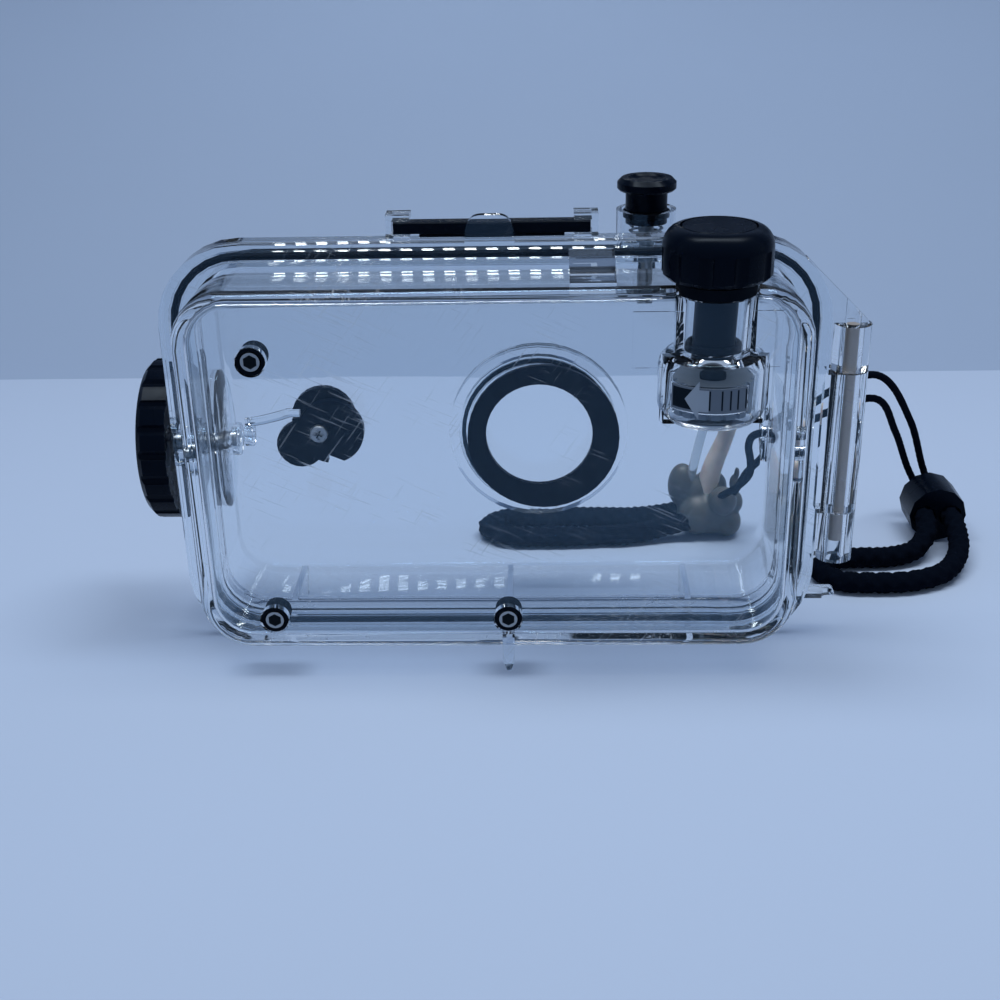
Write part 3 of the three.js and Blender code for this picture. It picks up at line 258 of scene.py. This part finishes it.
def moulded(name, color, roughness):
    """Moulded plastic or rubber with a fine grain and slightly uneven gloss."""
    material = shader(name, color, roughness, IOR=MOULDED_IOR,
                      Specular_Tint=(0.65, 0.82, 1.0, 1))
    _, links, bsdf = nodes_of(material)
    fine = object_noise(material, 2500, 2)
    bump(material, fine.outputs["Fac"], MOULDED_GRAIN, 0.05 * MM)
    broad = object_noise(material, 140, 2)
    gloss = ramp(material, broad.outputs["Fac"], 0.35, 0.65, (roughness * GLOSS_LOW,) * 3,
                 (min(1, roughness * GLOSS_HIGH),) * 3)
    links.new(gloss.outputs["Color"], bsdf.inputs["Roughness"])
    return material


def steel(name, color, roughness):
    """Turned steel with faint rings."""
    material = shader(name, color, roughness, 1.0)
    turned = object_noise(material, 3000, 2, (1, 6, 1))
    bump(material, turned.outputs["Fac"], 0.08, 0.03 * MM)
    return material


def cord_fabric(name):
    """Black fibre, dull and slightly rough."""
    material = shader(name, (0.0011, 0.0028, 0.0075), 0.95, IOR=1.12)
    fibres = object_noise(material, 5000, 3)
    bump(material, fibres.outputs["Fac"], 0.5, 0.1 * MM)
    return material


CLOUD_DEPTH = 0.72


def soft_silicone(name, color):
    """Milky silicone, cloudier in places."""
    material = shader(name, color, 0.42, Subsurface_Weight=0.5, Subsurface_Scale=2.5 * MM,
                      Specular_IOR_Level=0.4)
    _, links, bsdf = nodes_of(material)
    cloud = object_noise(material, 160, 3)
    tone = ramp(material, cloud.outputs["Fac"], 0.35, 0.68,
                tuple(c * CLOUD_DEPTH for c in color), color)
    links.new(tone.outputs["Color"], bsdf.inputs["Base Color"])
    fine = object_noise(material, 900, 3)
    bump(material, fine.outputs["Fac"], 0.2, 0.15 * MM)
    return material


BLACK = (0.0008, 0.0022, 0.0065)


def make_materials():
    """Every material, by its name."""
    return {
        "clear_case": clear_plastic("clear_case", (0.93, 0.955, 0.975)),
        "clear_worn": clear_plastic("clear_worn", (0.93, 0.955, 0.975), 0.035, False),
        "clear_window": clear_plastic("clear_window", (0.95, 0.98, 1.0), 0.01, False),
        "clear_strip": clear_plastic("clear_strip", (0.72, 0.78, 0.82), 0.25, False),
        "black_plastic": moulded("black_plastic", BLACK, 0.27),
        "grey_plastic": moulded("grey_plastic", (0.003, 0.006, 0.012), 0.45),
        "light_plastic": moulded("light_plastic", (0.16, 0.20, 0.25), 0.5),
        "black_rubber": moulded("black_rubber", (0.0014, 0.003, 0.0068), 0.7),
        "steel": steel("steel", (0.30, 0.32, 0.34), 0.3),
        "pin_steel": steel("pin_steel", (0.42, 0.38, 0.35), 0.55),
        "printed_band": moulded("printed_band", (0.13, 0.165, 0.215), 0.45),
        "print_light": moulded("print_light", (0.30, 0.36, 0.44), 0.45),
        "braid": cord_fabric("braid"),
        "silicone": soft_silicone("silicone", (0.096, 0.106, 0.104)),
        "sleeve": soft_silicone("sleeve", (0.68, 0.61, 0.54)),
        "print": moulded("print", (0.004, 0.009, 0.016), 0.4),
        # socket: a dark colour painted as the shade in the screws' hex sockets and cross recess
        "socket": moulded("socket", (0.004, 0.006, 0.009), 0.6),
    }


CRISP_ANGLE = 32
FLAT_WEIGHT = 60
LOOKS = {"bearing_plate": "clear_worn", "wheel_crank": "clear_worn"}
WELD = 0.002 * MM


def dress_frame(frame, materials):
    """Give the CAD nodes their materials and clean shading; their meshes stay."""
    slots = {piece["node"]: piece["material_slot"] for piece in frame["record"]["subparts"]}
    for name, piece in frame["nodes"].items():
        mesh = piece.data
        mesh.materials.clear()
        mesh.materials.append(materials[LOOKS.get(name, slots[name])])
        if "custom_normal" in mesh.attributes:
            mesh.attributes.remove(mesh.attributes["custom_normal"])
        mesh.shade_smooth()
        weld = piece.modifiers.new("weld", "WELD")
        weld.merge_threshold = WELD
        crisp = piece.modifiers.new("crisp", "EDGE_SPLIT")
        crisp.split_angle = math.radians(CRISP_ANGLE)
        flat = piece.modifiers.new("flat", "WEIGHTED_NORMAL")
        flat.mode = "FACE_AREA"
        flat.weight = FLAT_WEIGHT
        flat.keep_sharp = True


def compress_spring(frame):
    """The return spring gets its own copy of its mesh."""
    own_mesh(frame["nodes"]["shutter_spring"])


# Cords
def smooth_route(points, steps):
    """The centripetal curve through the points, as in the CAD source, in metres."""
    pts = [Vector(p) for p in points]
    ends = [2 * pts[0] - pts[1], *pts, 2 * pts[-1] - pts[-2]]
    out = []
    for step in range(steps + 1):
        place = step / steps * (len(pts) - 1)
        i = min(int(place), len(pts) - 2)
        out.append(centripetal(ends[i:i + 4], place - i) * MM)
    return out


def centripetal(four, share):
    """A point between the second and third of four points."""
    p0, p1, p2, p3 = four
    t0 = 0.0
    t1 = t0 + max((p1 - p0).length, 1e-6) ** 0.5
    t2 = t1 + max((p2 - p1).length, 1e-6) ** 0.5
    t3 = t2 + max((p3 - p2).length, 1e-6) ** 0.5
    t = t1 + (t2 - t1) * share
    a1 = p0 * ((t1 - t) / (t1 - t0)) + p1 * ((t - t0) / (t1 - t0))
    a2 = p1 * ((t2 - t) / (t2 - t1)) + p2 * ((t - t1) / (t2 - t1))
    a3 = p2 * ((t3 - t) / (t3 - t2)) + p3 * ((t - t2) / (t3 - t2))
    b1 = a1 * ((t2 - t) / (t2 - t0)) + a2 * ((t - t0) / (t2 - t0))
    b2 = a2 * ((t3 - t) / (t3 - t1)) + a3 * ((t - t1) / (t3 - t1))
    return b1 * ((t2 - t) / (t2 - t1)) + b2 * ((t - t1) / (t2 - t1))


def route_length(route):
    """The length along a route's points."""
    return sum((b - a).length for a, b in zip(route, route[1:]))


def tube(name, route, radius, material, around=16, relief=None):
    """A closed tube along a route; relief(distance, angle) gives a share of the radius to add."""
    vertices = []
    faces = []
    travelled = 0.0
    side = None
    for i, place in enumerate(route):
        ahead = route[min(i + 1, len(route) - 1)]
        behind = route[max(i - 1, 0)]
        along = (ahead - behind).normalized()
        if side is None:
            side = along.orthogonal().normalized()
        side = (side - along * side.dot(along)).normalized()
        over = along.cross(side)
        if i:
            travelled += (place - route[i - 1]).length
        for k in range(around):
            angle = 2 * math.pi * k / around
            size = radius * (1 + (relief(travelled, angle) if relief else 0))
            vertices.append(place + size * (math.cos(angle) * side + math.sin(angle) * over))
    rings = len(route)
    for i in range(rings - 1):
        for k in range(around):
            nxt = (k + 1) % around
            faces.append((i * around + k, i * around + nxt, (i + 1) * around + nxt,
                          (i + 1) * around + k))
    faces.append(tuple(reversed(range(around))))
    faces.append(tuple((rings - 1) * around + k for k in range(around)))
    mesh = bpy.data.meshes.new(name)
    mesh.from_pydata(vertices, [], faces)
    mesh.update()
    mesh.shade_smooth()
    return from_mesh(name, mesh, material)


def braid_relief(pitch, depth, around):
    """Crossing yarns: two opposite spirals, whichever stands higher."""
    def relief(distance, angle):
        turn = 2 * math.pi * distance / pitch
        left = math.cos(around * angle + turn)
        right = math.cos(around * angle - turn)
        return depth * (max(left, right) - 1)
    return relief


SLEEVE_FLARE, SLEEVE_TAPER, SLEEVE_ROUND = 0.42, 22 * MM, 2.6 * MM
SLEEVE_TIP = 0.02


def sleeve_shape(length):
    """Rounded at both ends and wider towards its foot."""
    def relief(distance, angle):
        flare = SLEEVE_FLARE * max(0.0, 1 - distance / SLEEVE_TAPER)
        size = 1 + flare
        for edge in (distance, length - distance):
            if edge < SLEEVE_ROUND:
                size *= max(SLEEVE_TIP, math.sqrt(1 - (1 - edge / SLEEVE_ROUND) ** 2))
        return size - 1
    return relief


def make_cord(name, points, radius, material_name, materials, steps, relief=None):
    """A tube along a route of the CAD source, with the route."""
    route = smooth_route(points, steps)
    piece = tube(name, route, radius * MM, materials[material_name], relief=relief)
    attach(piece, "case")
    return piece, route


KNOT_PLACE = (77.4, 38, 43.4)
KNOT_AXIS = (-7.6, 1.0, -6.4)
KNOT_TURNS, KNOT_REACH, KNOT_LENGTH, KNOT_CORD = 2.6, 2.0, 4.6, 1.05
KNOT_STEPS, KNOT_PASSES, KNOT_BULGE = 150, 1.9, 0.35
KNOT_BULGES, KNOT_SIDES = 3, 12
THIN_YARN = (2.2 * MM, 0.07, 3)
THICK_YARN = (4.6 * MM, 0.15, 4)
LONG_STEPS, SHORT_STEPS, SLEEVE_STEPS, STRIP_STEPS = 420, 360, 150, 90


def make_knot(materials):
    """A strand wrapped round both strands and crossed over itself."""
    along = Vector(KNOT_AXIS).normalized()
    side = along.orthogonal().normalized()
    over = along.cross(side)
    route = []
    for step in range(KNOT_STEPS + 1):
        share = step / KNOT_STEPS
        angle = 2 * math.pi * KNOT_TURNS * share
        rise = KNOT_LENGTH / 2 * math.cos(math.pi * share * KNOT_PASSES)
        reach = KNOT_REACH + KNOT_BULGE * math.sin(math.pi * share * KNOT_BULGES)
        place = Vector(KNOT_PLACE) + along * rise
        route.append((place + reach * (math.cos(angle) * side + math.sin(angle) * over)) * MM)
    piece = tube("knot_wrap", route, KNOT_CORD * MM, materials["braid"], KNOT_SIDES,
                 braid_relief(*THIN_YARN))
    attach(piece, "case")
    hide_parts("strap_knot")
    return piece


def make_strap(materials):
    """The strap's cords and silicone pieces, each in place of its CAD solid."""
    thin = braid_relief(*THIN_YARN)
    thick = braid_relief(*THICK_YARN)
    upper, upper_route = make_cord("strand_upper", UPPER_STRAND, STRAND_RADIUS, "braid",
                                   materials, LONG_STEPS, thin)
    lower, lower_route = make_cord("strand_lower", LOWER_STRAND, STRAND_RADIUS, "braid",
                                   materials, SHORT_STEPS, thin)
    left, left_route = make_cord("braid_left", LEFT_BRAID, BRAID_RADIUS, "braid",
                                 materials, LONG_STEPS, thick)
    right, right_route = make_cord("braid_right", RIGHT_BRAID, BRAID_RADIUS, "braid",
                                   materials, SHORT_STEPS, thick)
    sleeve_length = route_length(smooth_route(SLEEVE, SLEEVE_STEPS))
    sleeve, _ = make_cord("silicone_sleeve", SLEEVE, SLEEVE_RADIUS, "silicone",
                          materials, SLEEVE_STEPS, sleeve_shape(sleeve_length))
    sleeve.data.materials[0] = materials["sleeve"]
    strip, _ = make_cord("silicone_strip", STRIP, STRIP_RADIUS, "clear_strip",
                         materials, STRIP_STEPS)
    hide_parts("strap_strand_upper")
    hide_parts("strap_strand_lower")
    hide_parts("wrist_braid_left")
    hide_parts("wrist_braid_right")
    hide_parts("strap_sleeve")
    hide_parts("strap_strip")
    keeper = make_keeper(materials["silicone"])
    make_knot(materials)


# The silicone keeper: lobes as (place, half sizes) in millimetres
KEEPER_LOBES = [
    ((63.2, 66.8, 7.6), (8.2, 7.6, 7.6)), ((58.6, 66.2, 7.4), (5.8, 7.9, 7.2)),
    ((54.2, 67.4, 15.4), (4.4, 4.4, 7.0)), ((62.8, 68.6, 14.6), (5.2, 4.6, 5.2)),
    ((57.8, 67.0, 12.6), (4.2, 4.6, 6.2)), ((66.0, 61.2, 12.8), (4.2, 4.3, 4.4)),
    ((70.0, 65.4, 10.6), (2.6, 3.4, 3.6)), ((67.8, 64.8, 4.6), (4.4, 5.4, 4.6)),
    ((70.4, 65.0, 20.4), (0.9, 1.0, 1.9)), ((69.8, 65.6, 16.6), (1.5, 2.0, 3.0))]
KEEPER_VOXEL = 0.5 * MM


def make_keeper(material):
    """Soft lobes run into one form that rests on the floor."""
    form = bmesh.new()
    for place, half in KEEPER_LOBES:
        size = Matrix.Diagonal((*(h * MM for h in half), 1))
        turn = Matrix.Translation(Vector(place) * MM) @ size
        bmesh.ops.create_icosphere(form, subdivisions=4, radius=1, matrix=turn)
    piece = from_form("silicone_keeper", form, material)
    fuse = piece.modifiers.new("fuse", "REMESH")
    fuse.mode = "VOXEL"
    fuse.voxel_size = KEEPER_VOXEL
    fuse.use_smooth_shade = True
    even = piece.modifiers.new("even", "SMOOTH")
    even.factor = 0.5
    even.iterations = 5
    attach(piece, "case")
    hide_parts("strap_keeper")
    return piece


# Marks on the indicator band: degrees round the turret from its front, and shares of its height
PATCH = (-50.0, -20.0, 0.10, 0.92)
ARROW = ((-35.0, 0.5), (-19.5, 1.28), (-19.5, -0.28))
SHAFT = (-19.6, -9.5, 0.06, 0.94)
BARS = (-8.6, 3.9, 12.7, 20.7, 30.0)
BAR_HALF = 0.85
BAR_LOW, BAR_HIGH = 0.12, 0.92
PRINT_RISE = 0.03 * MM
PRINT_COLUMNS = 14


def arc_sheet(name, outline, band_box, rise, material):
    """A thin mark laid on the band: an outline of (degrees, share of height) points."""
    low, high = band_box
    tower_x, tower_y, radius = band_axis()
    form = bmesh.new()
    degrees = [p[0] for p in outline]
    start, end = min(degrees), max(degrees)
    rows = []
    for step in range(PRINT_COLUMNS + 1):
        turn = start + (end - start) * step / PRINT_COLUMNS
        levels = crossings(outline, turn)
        angle = math.radians(turn) - math.pi / 2
        rows.append([form.verts.new((tower_x + (radius + rise) * math.cos(angle),
                                     tower_y + (radius + rise) * math.sin(angle),
                                     low.z + (high.z - low.z) * level)) for level in levels])
    for near, far in zip(rows, rows[1:]):
        form.faces.new((near[0], *far, *near[1:]))
    piece = from_form(name, form, material)
    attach(piece, "door")
    return piece


def crossings(outline, turn):
    """The lowest and highest level of a convex outline at one angle, or one where they meet."""
    levels = []
    for (u0, v0), (u1, v1) in zip(outline, [*outline[1:], outline[0]]):
        if min(u0, u1) - 1e-6 <= turn <= max(u0, u1) + 1e-6:
            if abs(u1 - u0) < 1e-6:
                levels += [v0, v1]
            else:
                levels.append(v0 + (v1 - v0) * (turn - u0) / (u1 - u0))
    return sorted({round(level, 9) for level in (min(levels), max(levels))})


def band_axis():
    """The turret's axis and radius, from the collar above it and the band's front."""
    low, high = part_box("knob_collar")
    middle = (low + high) / 2
    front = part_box("indicator_band")[0].y
    return middle.x, middle.y, middle.y - front


def box_outline(start, end, low, high):
    """The outline of a mark with straight sides."""
    return ((start, low), (end, low), (end, high), (start, high))


def make_marks(materials):
    """A generic arrow and bars on the indicator band."""
    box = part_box("indicator_band")
    arc_sheet("band_patch", box_outline(*PATCH), box, PRINT_RISE, materials["print"])
    arc_sheet("band_arrow", ARROW, box, 2 * PRINT_RISE, materials["print_light"])
    arc_sheet("band_arrow_shaft", box_outline(*SHAFT), box, 2 * PRINT_RISE,
              materials["print_light"])
    for i, turn in enumerate(BARS):
        outline = box_outline(turn - BAR_HALF, turn + BAR_HALF, BAR_LOW, BAR_HIGH)
        arc_sheet(f"band_bar_{i + 1}", outline, box, PRINT_RISE, materials["print"])


# Painted shade for the stop screws' hex sockets: the reach and thickness of each dark disc
SOCKET_REACH = 1.75 * MM
SOCKET_DEPTH = 0.06 * MM


def make_socket_shades(materials):
    """Painted shade for the hex sockets in the heads of the three stop screws: thin dark hexagon
    discs laid on their faces.
    """
    for i in (1, 2, 3):
        low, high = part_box(f"stop_screw_{i}")
        middle = (low + high) / 2
        form = bmesh.new()
        place = Matrix.Translation((middle.x, low.y, middle.z))
        bmesh.ops.create_cone(form, cap_ends=True, segments=6, radius1=SOCKET_REACH,
                              radius2=SOCKET_REACH, depth=SOCKET_DEPTH,
                              matrix=place @ Matrix.Rotation(math.pi / 2, 4, "X"))
        piece = from_form(f"stop_socket_shade_{i}", form, materials["socket"])
        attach(piece, "door")


# Painted shade for the cam screw's cross recess: the half length, width and thickness of its dark
# bars, and their turns
CROSS_HALF, CROSS_WIDTH, CROSS_DEPTH = 1.15 * MM, 0.42 * MM, 0.06 * MM
CROSS_TURNS = (28, 118)


def make_cross_shade(materials):
    """Painted shade for the cross recess in the head of the cam screw: a thin dark cross laid on
    its face.
    """
    low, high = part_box("cam_screw")
    middle = (low + high) / 2
    form = bmesh.new()
    for turn in CROSS_TURNS:
        size = Matrix.Diagonal((2 * CROSS_HALF, CROSS_DEPTH, CROSS_WIDTH, 1))
        place = Matrix.Translation((middle.x, low.y, middle.z))
        bmesh.ops.create_cube(form, size=1,
                              matrix=place @ Matrix.Rotation(math.radians(turn), 4, "Y") @ size)
    piece = from_form("cam_screw_cross_shade", form, materials["socket"])
    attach(piece, "case")


# Stage
FLOOR_COLOR = (0.41, 0.51, 0.685)
WALL_COLOR = (0.30, 0.39, 0.55)
STAGE_HALF, STAGE_TOP = 2.5, 1.6
BEND_START, BEND_RADIUS, BEND_STEPS = 0.212, 0.26, 16
STRIP_Y = 0.40
STRIP_ROWS = ((0.2066, 0.00022), (0.2097, 0.0008), (0.2133, 0.0008))
STRIP_START, STRIP_END, STRIP_PITCH = -0.1286, 0.085, 0.0114
STRIP_LENGTH, STRIP_DEPTH = 0.0056, 0.002
STRIP_LIGHT = 8.0
CARD_Y, CARD_LOW, CARD_HIGH, CARD_HALF = 0.415, 0.182, 0.262, 0.32
CARD_COLOR = (0.02, 0.027, 0.036)


def stage_material(name, color):
    """Smooth card with a trace of unevenness."""
    material = shader(name, color, 0.85, Specular_IOR_Level=0.2)
    _, links, bsdf = nodes_of(material)
    broad = object_noise(material, 3, 2)
    tone = ramp(material, broad.outputs["Fac"], 0.3, 0.7, tuple(c * 0.97 for c in color), color)
    links.new(tone.outputs["Color"], bsdf.inputs["Base Color"])
    return material


def make_light_strip():
    """Rows of small glowing blocks above the view, hidden from the camera, for the glints."""
    material = bpy.data.materials.new("strip_light")
    material.use_nodes = True
    tree = material.node_tree
    glow = tree.nodes.new("ShaderNodeEmission")
    glow.inputs["Color"].default_value = (0.9, 0.97, 1.0, 1)
    glow.inputs["Strength"].default_value = STRIP_LIGHT
    tree.links.new(glow.outputs["Emission"], tree.nodes["Material Output"].inputs["Surface"])
    form = bmesh.new()
    count = int((STRIP_END - STRIP_START) / STRIP_PITCH)
    for z, height in STRIP_ROWS:
        size = Matrix.Diagonal((STRIP_LENGTH, STRIP_DEPTH, height, 1))
        for i in range(count):
            place = Matrix.Translation((STRIP_START + i * STRIP_PITCH, STRIP_Y, z))
            bmesh.ops.create_cube(form, size=1, matrix=place @ size)
    strip = from_form("light_strip", form, material)
    strip.visible_camera = False


def make_dark_card():
    """A dark card behind the glowing blocks, so that the clear top shows their rows."""
    corners = [(x, CARD_Y, z) for x, z in ((-CARD_HALF, CARD_LOW), (CARD_HALF, CARD_LOW),
                                           (CARD_HALF, CARD_HIGH), (-CARD_HALF, CARD_HIGH))]
    mesh = bpy.data.meshes.new("dark_card")
    mesh.from_pydata(corners, [], [(0, 1, 2, 3)])
    card = from_mesh("dark_card", mesh, stage_material("dark_card", CARD_COLOR))
    card.visible_camera = False


def make_stage():
    """A floor that turns up into a backdrop."""
    start, bend = BEND_START, BEND_RADIUS
    profile = [(-STAGE_HALF, 0.0), (start, 0.0)]
    for step in range(1, BEND_STEPS + 1):
        angle = math.pi / 2 * step / BEND_STEPS
        profile.append((start + bend * math.sin(angle), bend * (1 - math.cos(angle))))
    profile.append((start + bend, STAGE_TOP))
    vertices = [(x, y, z) for y, z in profile for x in (-STAGE_HALF, STAGE_HALF)]
    faces = [(2 * i, 2 * i + 1, 2 * i + 3, 2 * i + 2) for i in range(len(profile) - 1)]
    mesh = bpy.data.meshes.new("sweep")
    mesh.from_pydata(vertices, [], faces)
    mesh.shade_smooth()
    sweep = from_mesh("sweep", mesh, stage_material("floor_card", FLOOR_COLOR))
    mesh.materials.append(stage_material("wall_card", WALL_COLOR))
    for face in mesh.polygons[1:]:
        face.material_index = 1


LAMP_PLACE = (0.04, 0.0, 0.75)
LAMP_AIM = (0.04, 0, 0)
LAMP_SIZE = (0.8, 0.16)
LAMP_WATTS = 5.0
LAMP_COLOR = (0.97, 0.99, 1.0)
WORLD_COLOR = (0.74, 0.84, 1.0)
WORLD_LIGHT = 0.36


def make_lamp():
    """One long soft lamp overhead."""
    light = bpy.data.lights.new("overhead", "AREA")
    light.shape = "RECTANGLE"
    light.size, light.size_y = LAMP_SIZE
    light.energy = LAMP_WATTS
    light.color = LAMP_COLOR
    lamp = bpy.data.objects.new("overhead", light)
    lamp.location = LAMP_PLACE
    aim = Vector(LAMP_AIM) - Vector(LAMP_PLACE)
    lamp.rotation_euler = aim.to_track_quat("-Z", "Y").to_euler()
    bpy.context.scene.collection.objects.link(lamp)


def light_scene():
    """A soft world, seen as the wall's colour past the backdrop, and the lamp."""
    world = bpy.data.worlds.new("soft")
    world.use_nodes = True
    tree = world.node_tree
    background = tree.nodes["Background"]
    background.inputs["Color"].default_value = (*WORLD_COLOR, 1)
    background.inputs["Strength"].default_value = WORLD_LIGHT
    seen = tree.nodes.new("ShaderNodeBackground")
    seen.inputs["Color"].default_value = (*WALL_COLOR, 1)
    path = tree.nodes.new("ShaderNodeLightPath")
    mix = tree.nodes.new("ShaderNodeMixShader")
    shown = path.outputs["Is Camera Ray"]
    for kind in ("Is Glossy Ray", "Is Transmission Ray"):
        either = tree.nodes.new("ShaderNodeMath")
        either.operation = "MAXIMUM"
        tree.links.new(shown, either.inputs[0])
        tree.links.new(path.outputs[kind], either.inputs[1])
        shown = either.outputs[0]
    tree.links.new(shown, mix.inputs[0])
    tree.links.new(background.outputs["Background"], mix.inputs[1])
    tree.links.new(seen.outputs["Background"], mix.inputs[2])
    tree.links.new(mix.outputs["Shader"], tree.nodes["World Output"].inputs["Surface"])
    bpy.context.scene.world = world
    make_lamp()


def place_camera():
    """The camera at the photograph's viewing angle."""
    forward = Vector(CAMERA_FORWARD).normalized()
    level = forward.cross(Vector((0, 0, 1))).normalized()
    above = level.cross(forward)
    roll = math.radians(CAMERA_ROLL)
    right = level * math.cos(roll) + above * math.sin(roll)
    up = right.cross(forward)
    data = bpy.data.cameras.new("camera")
    data.lens = CAMERA_LENS
    data.sensor_width = CAMERA_SENSOR
    data.clip_start = CAMERA_CLIP
    camera = bpy.data.objects.new("camera", data)
    turn = Matrix((right, up, -forward)).transposed().to_4x4()
    camera.matrix_world = Matrix.Translation(CAMERA_PLACE) @ turn
    bpy.context.scene.collection.objects.link(camera)
    bpy.context.scene.camera = camera


def main():
    """The frame with its looks, the stage and lights round it, and the camera."""
    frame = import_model()
    materials = make_materials()
    dress_frame(frame, materials)
    compress_spring(frame)
    make_strap(materials)
    make_marks(materials)
    make_cross_shade(materials)
    make_socket_shades(materials)
    make_stage()
    make_light_strip()
    make_dark_card()
    light_scene()
    place_camera()
    bpy.context.scene.view_settings.view_transform = "Standard"


main()
